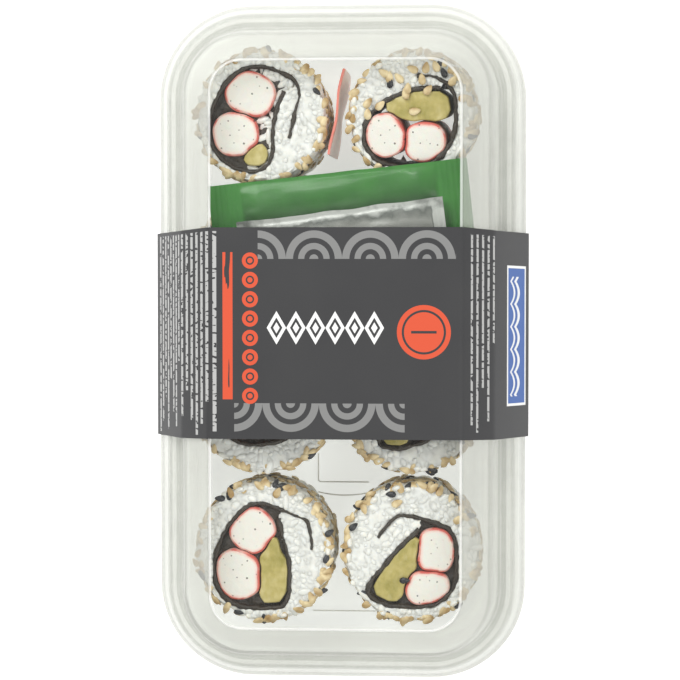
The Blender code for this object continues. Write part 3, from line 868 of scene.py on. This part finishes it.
# %% Geometry on outlines
def inside(points, polygon):
    """For many points, whether each lies in a polygon."""
    points = np.atleast_2d(points)
    a, b = polygon, np.roll(polygon, -1, 0)
    x, y = points[:, :1], points[:, 1:2]
    spans = (a[:, 1] > y) != (b[:, 1] > y)
    rise = np.where(b[:, 1] == a[:, 1], 1e-9, b[:, 1] - a[:, 1])
    crossing = x < (b[:, 0] - a[:, 0]) * (y - a[:, 1]) / rise + a[:, 0]
    return (spans & crossing).sum(1) % 2 == 1


def distance_to(points, path, closed=False):
    """For many points, the distance to a path."""
    points = np.atleast_2d(points)
    a = path if closed else path[:-1]
    b = np.roll(path, -1, 0) if closed else path[1:]
    run = b - a
    share = ((points[:, None] - a) * run).sum(2) / np.maximum((run * run).sum(1), 1e-9)
    spot = a + run * np.clip(share, 0, 1)[..., None]
    return np.linalg.norm(points[:, None] - spot, axis=2).min(1)


def resampled(path, spacing, closed=False):
    """Points at an even spacing on a smooth curve through a path's points."""
    knots = [Vector(p) for p in path]
    if closed:
        knots = [knots[-1]] + knots + knots[:2]
    else:
        knots = [knots[0] * 2 - knots[1]] + knots + [knots[-1] * 2 - knots[-2]]
    fine = []
    for a, b, c, d in zip(knots, knots[1:], knots[2:], knots[3:]):
        for k in range(8):
            t = k / 8
            fine.append(0.5 * (2 * b + (c - a) * t + (2 * a - 5 * b + 4 * c - d) * t * t
                               + (3 * b - a - 3 * c + d) * t ** 3))
    fine.append(knots[-2])
    fine = np.array([tuple(p) for p in fine])
    run = np.concatenate([[0], np.cumsum(np.linalg.norm(np.diff(fine, axis=0), axis=1))])
    count = max(8, int(round(run[-1] / spacing)) + 1)
    stops = np.linspace(0, run[-1], count)
    even = np.stack([np.interp(stops, run, fine[:, 0]), np.interp(stops, run, fine[:, 1])], 1)
    return even[:-1] if closed else even


def signed_area(polygon):
    following = np.roll(polygon, -1, 0)
    return (polygon[:, 0] * following[:, 1] - following[:, 0] * polygon[:, 1]).sum() / 2


def triangles_within(points, count, hole=None):
    """Triangles over points whose first ones are a closed border, leaving out a hole."""
    edges = [(i, (i + 1) % count) for i in range(count)]
    result = delaunay_2d_cdt([Vector(p) for p in points], edges, [], 0, 1e-5)
    spots = np.array([tuple(p) for p in result[0]])
    middles = np.array([spots[list(t)].mean(0) for t in result[2]])
    good = inside(middles, points[:count])
    if hole is not None:
        good &= ~inside(middles, hole)
    return spots, [tuple(t) for t, ok in zip(result[2], good) if ok]


def lumps(x, y, z, scale, seed):
    """Smooth noise between -1 and 1 with lumps of about a scale in millimetres."""
    return noise.noise(Vector((x / scale, y / scale, z / scale + seed * 7.3)))


print("outline helpers ready")

# %% [markdown]
# ## Rolls
#
# The rice is a core with many separate grains pressed into it, because the grains' shadows are
# what makes rice look like rice. The core's top follows the roll's own section with the hole for
# the fillings. Grains lie flat on the cut face and stand in all directions on the side. Sesame
# seeds are rolled on last, so that they lie on the rice's side and on its rim.

# %% Roll frames
ROLLS = ["11", "12", "21", "22", "31", "32", "41", "42"]


def roll_place(tag):
    """A roll's matrix: its own Z is the roll's axis, with its base at zero."""
    axis = up_axis("stick_a_" + tag)
    turn = Vector((0, 0, 1)).rotation_difference(axis).to_matrix().to_4x4()
    points, _ = welded("rice_" + tag)
    local = np.array([turn.inverted() @ (Vector(p) * MM) for p in points]) / MM
    centre = (local.min(0) + local.max(0)) / 2
    base = Vector((centre[0], centre[1], local[:, 2].min())) * MM
    return turn @ Matrix.Translation(base), local[:, 2].max() - local[:, 2].min()


def read_roll(tag):
    """The outlines of one roll's parts in its own millimetres."""
    place, height = roll_place(tag)
    pickle = top_outline("pickle_" + tag, place)
    points, _ = welded("rice_" + tag)
    back = place.inverted()
    local = np.array([back @ (Vector(p) * MM) for p in points]) / MM
    reach = np.abs(local[:, :2]).max(0)
    return dict(tag=tag, place=place, height=height, pickle=pickle, reach=reach,
                sticks=[top_outline("stick_a_" + tag, place), top_outline("stick_b_" + tag, place)],
                strip=middle_line(top_outline("nori_" + tag, place), pickle))


rolls = [read_roll(tag) for tag in ROLLS]
for roll in rolls:
    print(roll["tag"], "height", round(roll["height"], 1), "reach", roll["reach"].round(1).tolist())

# %% Rice core
CORE_IN = 1.1


def rice_edge(roll, angle, z):
    """The core's outline at an angle and height: the roll's oval, a little lumpy."""
    rx, ry = roll["reach"] - CORE_IN
    seed = int(roll["tag"])
    x, y = rx * math.cos(angle), ry * math.sin(angle)
    bulge = 1 - 0.030 * max(0.0, (z / roll["height"]) * 2 - 1) ** 3 - 0.025 * max(0.0, 1 - z / 4) ** 2
    lump = 0.45 * lumps(x, y, z, 5.5, seed)
    return x * bulge + lump * math.cos(angle), y * bulge + lump * math.sin(angle)


def filling_hole(roll):
    """The strip's closed part: everything within it belongs to the fillings."""
    path = resampled(roll["strip"], 0.7)
    head = path[: len(path) // 2]
    joint = int(np.argmin(np.linalg.norm(head[: int(len(path) * 0.42)] - path[-1], axis=1)))
    return path, path[joint:]


def cap_mesh(border, spacing, hole, height_at):
    """Triangles over a border, with points at a spacing, leaving out a hole."""
    low, high = border.min(0), border.max(0)
    grid = []
    row = 0
    y = low[1]
    while y < high[1]:
        x = low[0] + (row % 2) * spacing / 2
        while x < high[0]:
            grid.append((x, y))
            x += spacing
        y += spacing * 0.87
        row += 1
    grid = np.array(grid)
    keep = inside(grid, border) & (distance_to(grid, border, True) > spacing * 0.5)
    if hole is not None:
        keep &= ~inside(grid, hole) | (distance_to(grid, hole, True) < spacing)
    spots, faces = triangles_within(np.concatenate([border, grid[keep]]), len(border), hole)
    return [(x, y, height_at(x, y)) for x, y in spots], faces


def rice_core(roll):
    """The rice as one lumpy body, with its cut face open over the fillings."""
    height = roll["height"]
    levels, around = 13, 120
    verts, faces = [], []
    for k in range(levels):
        z = 0.1 + (height - 1.0) * k / (levels - 1)
        for i in range(around):
            verts.append((*rice_edge(roll, 2 * math.pi * i / around, z), z))
    for k in range(levels - 1):
        faces += ring_walls(k * around, around)
    border = np.array([v[:2] for v in verts[-around:]])
    hole = roll["hole"] * 0.995
    seed = int(roll["tag"])

    def cut_height(x, y):
        dip = 0.55 * math.exp(-(distance_to((x, y), roll["line"])[0] / 0.9) ** 2)
        return height - 0.42 - dip + 0.42 * lumps(x, y, 0, 3.0, seed) + 0.30 * lumps(x, y, 4, 1.2, seed)

    foot = np.array([v[:2] for v in verts[:around]])
    join_on(verts, faces, *cap_mesh(border, 0.8, hole, cut_height))
    base, base_faces = cap_mesh(foot, 3.0, hole, lambda x, y: 0.1)
    join_on(verts, faces, base, [f[::-1] for f in base_faces])
    return verts, faces


# %% Grains and seeds
def ellipsoid(rings, around):
    """A unit ball's points and faces, long along X."""
    verts = [(-1.0, 0.0, 0.0)]
    for r in range(1, rings):
        x = -math.cos(math.pi * r / rings)
        wide = math.sin(math.pi * r / rings)
        for i in range(around):
            angle = 2 * math.pi * i / around
            verts.append((x, wide * math.cos(angle), wide * math.sin(angle)))
    verts.append((1.0, 0.0, 0.0))
    faces = [(0, 1 + (i + 1) % around, 1 + i) for i in range(around)]
    for r in range(rings - 2):
        faces += ring_walls(1 + r * around, around)
    first = 1 + (rings - 2) * around
    faces += [(first + i, first + (i + 1) % around, len(verts) - 1) for i in range(around)]
    return np.array(verts), faces


GRAIN = ellipsoid(6, 8)
SEED = ellipsoid(5, 6)
SEED_TAPER = 0.35


def add_copy(target, shape, size, spot, along, up=(0, 0, 1), bend=0.0, taper=0.0):
    """Add one grain or seed to a list of verts and faces."""
    along = np.array(along) / np.linalg.norm(along)
    side = np.cross(up, along)
    side /= np.linalg.norm(side)
    up = np.cross(along, side)
    verts, faces = shape
    body = verts * np.array(size) / 2
    body[:, 1:] *= (1 - taper * verts[:, :1])
    body[:, 1] += bend * (verts[:, 0] ** 2)
    placed = np.array(spot) + body[:, :1] * along + body[:, 1:2] * side + body[:, 2:] * up
    join_on(*target, list(map(tuple, placed)), faces)


def flat_way(rng, tilt):
    """A random direction that is nearly level."""
    turn = rng.uniform(0, math.pi)
    return math.cos(turn), math.sin(turn), rng.uniform(-tilt, tilt)


def spaced(count, apart, draw, tries=40):
    """Spots drawn one after another that keep a distance from all earlier ones."""
    spots = []
    for _ in range(count * tries):
        if len(spots) >= count:
            break
        spot = draw()
        if spot is None:
            continue
        if spots and np.min(np.linalg.norm(np.array(spots) - spot[:3], axis=1)) < apart:
            continue
        spots.append(np.array(spot[:3]))
    return spots


def on_side(roll, rng, out, top_in=0.9):
    """A spot on the roll's side and its outward direction."""
    angle = rng.uniform(0, 2 * math.pi)
    z = rng.uniform(1.2, roll["height"] - top_in)
    x, y = rice_edge(roll, angle, z)
    rx, ry = roll["reach"]
    way = np.array([math.cos(angle) / rx, math.sin(angle) / ry, 0.0])
    way /= np.linalg.norm(way)
    return np.array([x, y, z]) + way * out, way


print("a grain has", len(GRAIN[1]), "faces and a seed has", len(SEED[1]))


# %% Noticed seeds
# Seeds that lie in noticed places on the cut faces, in the pack's own millimetres.
LOOSE_GOLDEN = [
    (19.3, 69.4), (17.0, 72.2), (14.4, 72.5), (20.7, 74.6), (24.3, 75.0), (27.0, 75.3), (23.2, 71.9),
    (24.8, 69.0), (18.7, 68.0), (21.2, 63.3), (11.8, 64.9), (8.5, 65.6), (8.4, 62.6), (12.9, 73.6),
    (31.5, 71.4), (34.5, 66.8), (-4.6, 73.2), (-1.6, 71.4), (-2.6, 76.5), (-21.5, -38.6), (-16.5, -40.6),
    (8.2, -39.9), (5.2, -42.6), (16.3, -43.2), (26.2, -38.9), (3.2, -47.6), (-27.9, -38.0),
    (-33.0, -77.2), (33.0, -47.5),
]
LOOSE_BLACK = [
    (14.6, -40.8), (18.4, -64.3), (4.4, -49.7), (3.5, -43.0), (2.5, -74.3), (5.4, -76.4), (31.6, -35.5),
    (25.7, -36.5), (-28.8, -38.4), (-32.3, -42.3), (-7.2, -30.3), (7.1, -34.4), (29.1, 73.6), (14.6, 70.9),
    (2.7, 47.1), (-2.2, -51.5), (-3.0, -58.5), (-3.4, -68.0), (36.5, -46.5),
]


def loose_seeds(roll, spots, kind, size, rng):
    """Lay the noticed seeds of one roll on its cut face, or against its side near the top."""
    back = roll["place"].inverted()
    rx, ry = roll["reach"]
    for x, y in spots:
        near = back @ (Vector((x, y, 26.5)) * MM) / MM
        share = math.hypot(near.x / rx, near.y / ry)
        if share > 1.13:
            continue
        angle = math.atan2(near.y / ry, near.x / rx)
        fit = min(share, 0.99)
        top = roll["height"] + 0.25 - 16 * max(0, share - 0.95)
        spot = (rx * fit * math.cos(angle), ry * fit * math.sin(angle), top)
        add_copy(kind, SEED, size, spot, flat_way(rng, 0.2), taper=SEED_TAPER)


print("noticed seeds:", len(LOOSE_GOLDEN), "golden and", len(LOOSE_BLACK), "black")


# %% Grains on a roll
SHORT_GRAINS = 170
LONG_GRAINS = 62
SIDE_GRAINS = 330
GRAINS_BESIDE_STICKS = 90
RICE_BESIDE_STICKS = ["11"]


def open_rice(roll, rng):
    """A free spot in the cut face's rice, clear of the fillings and the seaweed."""
    rx, ry = roll["reach"] - 2.1
    for _ in range(30):
        angle, away = rng.uniform(0, 2 * math.pi), math.sqrt(rng.random())
        x, y = rx * away * math.cos(angle), ry * away * math.sin(angle)
        spot = np.array([[x, y]])
        clear = min(distance_to(spot, roll["line"])[0], distance_to(spot, roll["hole"], True)[0])
        if clear > 1.15 and not inside(spot, roll["hole"])[0]:
            return x, y, roll["height"] - 1.15 + rng.uniform(-0.3, 0.2)
    return None


def beside_sticks(roll, rng):
    """A spot among the fillings that none of them takes up."""
    rx, ry = roll["reach"]
    x, y = rng.uniform(-2, rx), rng.uniform(-ry, ry)
    spot = np.array([[x, y]])
    solid = roll["sticks"] + [roll["pickle"]]
    if inside(spot, roll["hole"])[0] and not any(inside(spot, o)[0] for o in solid) \
            and min(distance_to(spot, o, True)[0] for o in solid) > 0.9:
        return x, y, roll["height"] - rng.uniform(2.0, 3.0)
    return None


def lay_grains(roll, grains, rng):
    """Short and long grains on the cut face, and grains all over the side."""
    for spot in spaced(SHORT_GRAINS, 1.25, lambda: open_rice(roll, rng)):
        turn = rng.uniform(0, math.pi)
        wide = rng.uniform(1.5, 2.4)
        size = (wide * rng.uniform(1.0, 1.5), wide, rng.uniform(1.3, 2.0))
        along = (math.cos(turn), math.sin(turn), rng.uniform(-0.4, 0.4))
        add_copy(grains, GRAIN, size, spot + [0, 0, 0.05], along)
    if roll["tag"] in RICE_BESIDE_STICKS:
        for spot in spaced(GRAINS_BESIDE_STICKS, 1.2, lambda: beside_sticks(roll, rng)):
            add_copy(grains, GRAIN, (5.2, 2.2, 2.0), spot, flat_way(rng, 0.4), bend=0.3)
    for spot in spaced(LONG_GRAINS, 2.6, lambda: open_rice(roll, rng)):
        along = flat_way(rng, 0.25)
        long, wide, thick = rng.uniform(4.3, 5.6), rng.uniform(2.3, 2.9), rng.uniform(1.8, 2.2)
        long = min(long, 1.2 + distance_to(spot[None, :2], roll["line"])[0] * 1.6)
        add_copy(grains, GRAIN, (long, wide, thick), spot, along, bend=rng.uniform(-0.3, 0.3))
    ways = {}

    def side_spot():
        spot, way = on_side(roll, rng, rng.uniform(-0.5, -0.05))
        ways[tuple(spot.round(5))] = way
        return tuple(spot)

    for spot in spaced(SIDE_GRAINS, 1.9, side_spot, tries=12):
        way = ways[tuple(spot.round(5))]
        level = np.array([-way[1], way[0], 0.0])
        turn = rng.gauss(0, 0.75)
        along = level * math.cos(turn) + np.array([0, 0, 1]) * math.sin(turn)
        along = along + way * rng.uniform(-0.22, 0.22)
        size = (rng.uniform(4.4, 5.5), rng.uniform(2.2, 2.6), rng.uniform(1.8, 2.1))
        add_copy(grains, GRAIN, size, spot, along, way, rng.uniform(-0.3, 0.3))


print("each roll can carry", SHORT_GRAINS + LONG_GRAINS + SIDE_GRAINS, "grains")


# %% Seeds on a roll
GOLDEN_SEEDS = 230
BLACK_SEEDS = 16


def roll_on_seeds(roll, kind, count, size, rng):
    """Seeds on the roll's side, and about a fifth of them on its rim."""
    rx, ry = roll["reach"]
    for _ in range(count):
        on_rim = rng.random() < 0.22
        angle = rng.uniform(0, 2 * math.pi)
        if on_rim:
            east, north = math.cos(angle), math.sin(angle)
            share = rng.uniform(0.90, 0.985)
            top = roll["height"] - rng.uniform(0.0, 0.7)
            spot = np.array([rx * share * east, ry * share * north, top])
            way = np.array([east * (share - 0.86) * 5, north * (share - 0.86) * 5, 1.0])
        else:
            spot, way = on_side(roll, rng, 0.75)
        way = way / np.linalg.norm(way)
        tangent = np.cross(way, (0.3, 0.2, 0.9))
        tangent /= np.linalg.norm(tangent)
        turn = rng.uniform(0, 2 * math.pi)
        along = tangent * math.cos(turn) + np.cross(way, tangent) * math.sin(turn)
        scale = rng.uniform(0.85, 1.12)
        add_copy(kind, SEED, [length * scale for length in size], spot, along, way, taper=SEED_TAPER)


def dress_roll(roll):
    """The grains, golden seeds and black seeds of one roll, each as points and faces."""
    rng = random.Random(int(roll["tag"]) * 101)
    grains, golden, black = ([], []), ([], []), ([], [])
    lay_grains(roll, grains, rng)
    loose_seeds(roll, LOOSE_GOLDEN, golden, (3.3, 2.0, 1.0), rng)
    loose_seeds(roll, LOOSE_BLACK, black, (3.0, 1.7, 0.95), rng)
    roll_on_seeds(roll, golden, GOLDEN_SEEDS, (3.1, 1.75, 0.85), rng)
    roll_on_seeds(roll, black, BLACK_SEEDS, (3.0, 1.6, 0.85), rng)
    return grains, golden, black


print("and", GOLDEN_SEEDS, "golden seeds and", BLACK_SEEDS, "black ones")


# %% Fillings pressed together
def corners_kept(outline, spacing):
    """Points at about a spacing on a polygon's straight sides, with its corners kept."""
    points = []
    for a, b in zip(outline, np.roll(outline, -1, 0)):
        steps = max(1, int(round(np.linalg.norm(b - a) / spacing)))
        points += [a + (b - a) * k / steps for k in range(steps)]
    return np.array(points)


def pressed(outline, others, hole, most, soft):
    """An outline grown until it nearly meets its neighbours, as pressed fillings are."""
    edge = resampled(outline, 0.6, closed=True) if soft else corners_kept(outline, 0.6)
    if signed_area(edge) < 0:
        edge = edge[::-1]
    outward = edge - offset_path(edge, 0.1, closed=True)
    outward /= np.maximum(np.linalg.norm(outward, axis=1, keepdims=True), 1e-9)
    grown = np.zeros(len(edge))
    moving = np.ones(len(edge), dtype=bool)
    for _ in range(int(most / 0.1)):
        spots = edge + outward * (grown[:, None] + 0.1)
        moving &= inside(spots, hole) & (distance_to(spots, hole, True) > 0.5)
        for other in others:
            moving &= distance_to(spots, other, True) > 0.42
        grown[moving] += 0.1
    kernel = np.array([1, 2, 3, 2, 1]) / 9
    padded = np.concatenate([grown[-2:], grown, grown[:2]])
    return edge + outward * np.convolve(padded, kernel, mode="valid")[:, None]


# The third row's fillings stop short of the sleeve's edge in the photograph.
DRAWN_IN = {"31": (0.0, 2.9), "32": (-2.2, 2.3)}
DRAWN_SIZE = 0.92

for roll in rolls:
    if roll["tag"] in DRAWN_IN:
        pull = np.array(DRAWN_IN[roll["tag"]])
        roll["strip"] = roll["strip"] * DRAWN_SIZE + pull
        roll["pickle"] = roll["pickle"] * DRAWN_SIZE + pull
        roll["sticks"] = [stick * DRAWN_SIZE + pull for stick in roll["sticks"]]
    roll["line"], roll["hole"] = filling_hole(roll)
    one, other = roll["sticks"]
    one = pressed(one, [other, roll["pickle"]], roll["hole"], 0.8, True)
    other = pressed(other, [one, roll["pickle"]], roll["hole"], 0.8, True)
    roll["sticks"] = [one, other]
    roll["pickle"] = pressed(roll["pickle"], [one, other], roll["hole"], 1.2, False)
print("fillings pressed in", len(rolls), "rolls")

# %% Make the rice and seeds
for roll in rolls:
    tag, place = roll["tag"], roll["place"]
    verts, faces = rice_core(roll)
    grains, golden, black = dress_roll(roll)
    join_on(verts, faces, *grains)
    make_piece("rice_body_" + tag, verts, faces, ["rice"], "rice", ["rice_" + tag], place)
    make_piece("golden_seeds_" + tag, *golden, ["golden_seed"], "rice", (), place)
    make_piece("black_seeds_" + tag, *black, ["black_seed"], "rice", (), place)
    print("roll", tag, "rice faces", len(faces), "seed faces", len(golden[1]) + len(black[1]))

# %% [markdown]
# ## Seaweed and fillings
#
# The seaweed is one strip that goes round the fillings and tucks back into the rice. Where the
# two crab sticks and the pickle leave gaps, a dark seaweed sheet just below their cut faces is
# painted shade for those gaps, except in one roll whose gaps let the light through. Crab sticks
# have a red skin over pale flesh, which shows as a thin red ring.

# %% Strip of seaweed
OPEN_GAP = ["12"]


def nori_strip(roll):
    """A ribbon of uneven thickness along the strip's middle line."""
    line = resampled(roll["strip"], 0.45)
    seed = int(roll["tag"])
    height = roll["height"]
    run = np.gradient(line, axis=0)
    side = np.stack([-run[:, 1], run[:, 0]], 1)
    side /= np.linalg.norm(side, axis=1, keepdims=True)
    verts, faces = [], []
    looped = distance_to(line, roll["hole"], True) < 0.2
    ramp = np.convolve(np.pad(looped.astype(float), 6, mode="edge"), np.ones(13) / 13, mode="valid")
    for (x, y), (sx, sy), wide in zip(line, side, ramp):
        thick = 0.42 + 0.17 * wide + 0.26 * lumps(x, y, 0, 1.8, seed) + 0.28 * lumps(x, y, 5, 4.0, seed)
        wave = 0.25 * lumps(x, y, 9, 1.3, seed)
        top = height - 0.18 + 0.25 * lumps(x, y, 3, 1.8, seed)
        for share, z in ((-1, 0.3), (-1, top - 0.25), (-0.4, top), (0.4, top), (1, top - 0.25), (1, 0.3)):
            verts.append((x + sx * (thick * share + wave), y + sy * (thick * share + wave), z))
    for i in range(len(line) - 1):
        faces += [(a, d, c, b) for a, b, c, d in ring_walls(i * 6, 6)]
    faces.append(tuple(range(6)))
    faces.append(tuple(range(len(verts) - 1, len(verts) - 7, -1)))
    return verts, faces


def nori_bed(roll):
    """A dark seaweed sheet below the fillings' cut faces: painted shade for the gaps between them."""
    level = roll["height"] - 1.9
    seed = int(roll["tag"])
    return cap_mesh(roll["hole"], 0.9, None, lambda x, y: level + 0.9 * lumps(x, y, 0, 1.8, seed))


for roll in rolls:
    verts, faces = nori_strip(roll)
    # The dark sheet under the fillings is painted shade for their gaps, in every roll but the open one.
    if roll["tag"] not in OPEN_GAP:
        join_on(verts, faces, *nori_bed(roll))
    make_piece("seaweed_" + roll["tag"], verts, faces, ["nori"], "nori", ["nori_" + roll["tag"]],
               roll["place"], sharp_deg=65)
print("seaweed bed left out of roll", *OPEN_GAP)

# %% Sticks and pickle
def filled_prism(edge, rings, height, rough, seed, dome=0.0):
    """A prism with a rounded rim, and for each point its depth under the skin."""
    count = len(edge)
    core = edge.mean(0)
    widest = distance_to(core[None], edge, True)[0]
    verts = [(x, y, 0.4) for x, y in edge]
    faces = []
    moved = edge
    for inward, drop in rings:
        moved = offset_path(edge, min(inward, widest * 0.5), closed=True) if inward > 0 else edge
        first = len(verts)
        verts += [(x, y, height - drop + rough * lumps(x, y, 0, 1.5, seed)) for x, y in moved]
        faces += ring_walls(first - count, count)
    low, high = moved.min(0), moved.max(0)
    columns, rows = np.arange(low[0], high[0], 0.5), np.arange(low[1], high[1], 0.5)
    grid = np.array([(x, y) for x in columns for y in rows])
    grid = grid[inside(grid, moved) & (distance_to(grid, moved, True) > 0.3)]
    spots, triangles = triangles_within(np.concatenate([moved, grid]), count)
    depth = distance_to(spots, edge, True)
    first = len(verts)
    rise = dome * (1 - np.exp(-depth / 1.5))
    top = [(x, y, height + z + rough * lumps(x, y, 0, 1.5, seed)) for (x, y), z in zip(spots, rise)]
    join_on(verts, faces, top, triangles)
    skin = np.ones(len(verts))
    skin[first:] = np.clip(1.0 - depth / 1.6, 0, 1)
    return verts, faces, skin


STICK_RINGS = [(0.0, 0.6), (0.14, 0.25), (0.34, 0.06), (0.55, 0.0)]
PICKLE_RINGS = [(0.0, 0.35), (0.15, 0.08), (0.4, 0.0)]
for roll in rolls:
    number = int(roll["tag"])
    for letter, outline in zip("ab", roll["sticks"]):
        verts, faces, skin = filled_prism(outline, STICK_RINGS, roll["height"] - 0.25, 0.10, number, 0.2)
        crab = make_piece(f"crab_{letter}_{roll['tag']}", verts, faces, ["stick"], "stick",
                          [f"stick_{letter}_{roll['tag']}"], roll["place"], sharp_deg=70)
        keep_values(crab, "skin", skin)
    verts, faces, _ = filled_prism(roll["pickle"], PICKLE_RINGS, roll["height"] - 0.35, 0.30, number + 5)
    make_piece("pickle_piece_" + roll["tag"], verts, faces, ["pickle"], "pickle", ["pickle_" + roll["tag"]],
               roll["place"], sharp_deg=50)
print("fillings made for", len(rolls), "rolls")

# %% [markdown]
# ## Pink slice
#
# A thin slice stands on edge between the first two rolls. Its solid gives the line, and the fine
# piece makes it wavy, as a soft slice is.

# %% Stand the slice
def make_slice():
    low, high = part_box("pink_slice")
    low, high = np.array(low) / MM, np.array(high) / MM
    points, _ = welded("pink_slice")
    front = points[np.argmax(points[:, 1])][:2]
    back = points[np.argmin(points[:, 1])][:2]
    run = back - front
    side = np.array([-run[1], run[0]]) / np.linalg.norm(run)
    steps, rows = 46, 20

    def spot(side_sign, i, r):
        share, rise = i / (steps - 1), r / (rows - 1)
        middle = front + run * (0.01 + 0.98 * share) + side * 0.28 * math.sin(share * 9 + 2.6 * rise)
        thick = 0.30 + 0.12 * lumps(share * 20, rise * 20, -side_sign, 4, 3)
        x, y = middle - side * side_sign * thick
        top = high[2] - 0.5 - 0.45 * (1 + lumps(share * 20, 0, 0, 3.0, 2))
        return x, y, low[2] + 0.1 + (top - low[2]) * rise

    verts, faces = thin_sheet(steps, rows, spot)
    make_piece("slice", verts, faces, ["slice"], "pink_slice", ["pink_slice"], sharp_deg=70)


make_slice()
print("pink slice stands between the first two rolls")

# %% [markdown]
# ## Floor, light and camera
#
# The photograph was taken from above with soft light on white paper. A pale floor, a bright even
# surround and two large soft lamps give the same short shadows. The camera looks down from
# above the pack's upper right part, about 60 cm away, which is what its outlines show.

# %% Floor and light
def make_floor():
    mesh = bpy.data.meshes.new("floor")
    mesh.from_pydata([(-1.5, -1.5, 0), (1.5, -1.5, 0), (1.5, 1.5, 0), (-1.5, 1.5, 0)], [], [(0, 1, 2, 3)])
    mesh.materials.append(FINISH["floor"])
    sheet = bpy.data.objects.new("floor", mesh)
    bpy.context.scene.collection.objects.link(sheet)
    sheet.location.z = -0.0006


def soft_lamp(name, spot, size, watts):
    """A square area lamp that looks at the pack."""
    light = bpy.data.lights.new(name, "AREA")
    light.size = size
    light.energy = watts
    lamp = bpy.data.objects.new(name, light)
    lamp.location = spot
    lamp.rotation_euler = (-Vector(spot)).to_track_quat("-Z", "Y").to_euler()
    bpy.context.scene.collection.objects.link(lamp)


make_floor()
world = bpy.data.worlds.new("studio")
world.use_nodes = True
surround = world.node_tree.nodes["Background"]
surround.inputs["Color"].default_value = (1.0, 1.0, 1.0, 1)
surround.inputs["Strength"].default_value = 0.62
bpy.context.scene.world = world
soft_lamp("key", (-0.40, 0.55, 0.72), 0.55, 7.0)
soft_lamp("fill", (0.55, -0.35, 0.80), 0.70, 4.5)
print("two lamps and a bright surround")

# %% Camera
CAMERA_SPOT = Vector((0.0443, 0.0211, 0.6031))
CAMERA_AIM = Vector((-0.00056, 0.00064, 0.0106))
lens = bpy.data.cameras.new("camera")
lens.lens = 112.4
lens.sensor_width = 36.0
camera = bpy.data.objects.new("camera", lens)
look = CAMERA_AIM - CAMERA_SPOT
sideways = look.cross(Vector((0, 1, 0))).normalized()
upright = sideways.cross(look).normalized()
turn = Matrix((sideways, upright, -look.normalized())).transposed().to_4x4()
camera.matrix_world = Matrix.Translation(CAMERA_SPOT) @ turn
bpy.context.scene.collection.objects.link(camera)
bpy.context.scene.camera = camera
bpy.context.scene.view_settings.view_transform = "Standard"
print("camera is", round(look.length, 3), "m away")
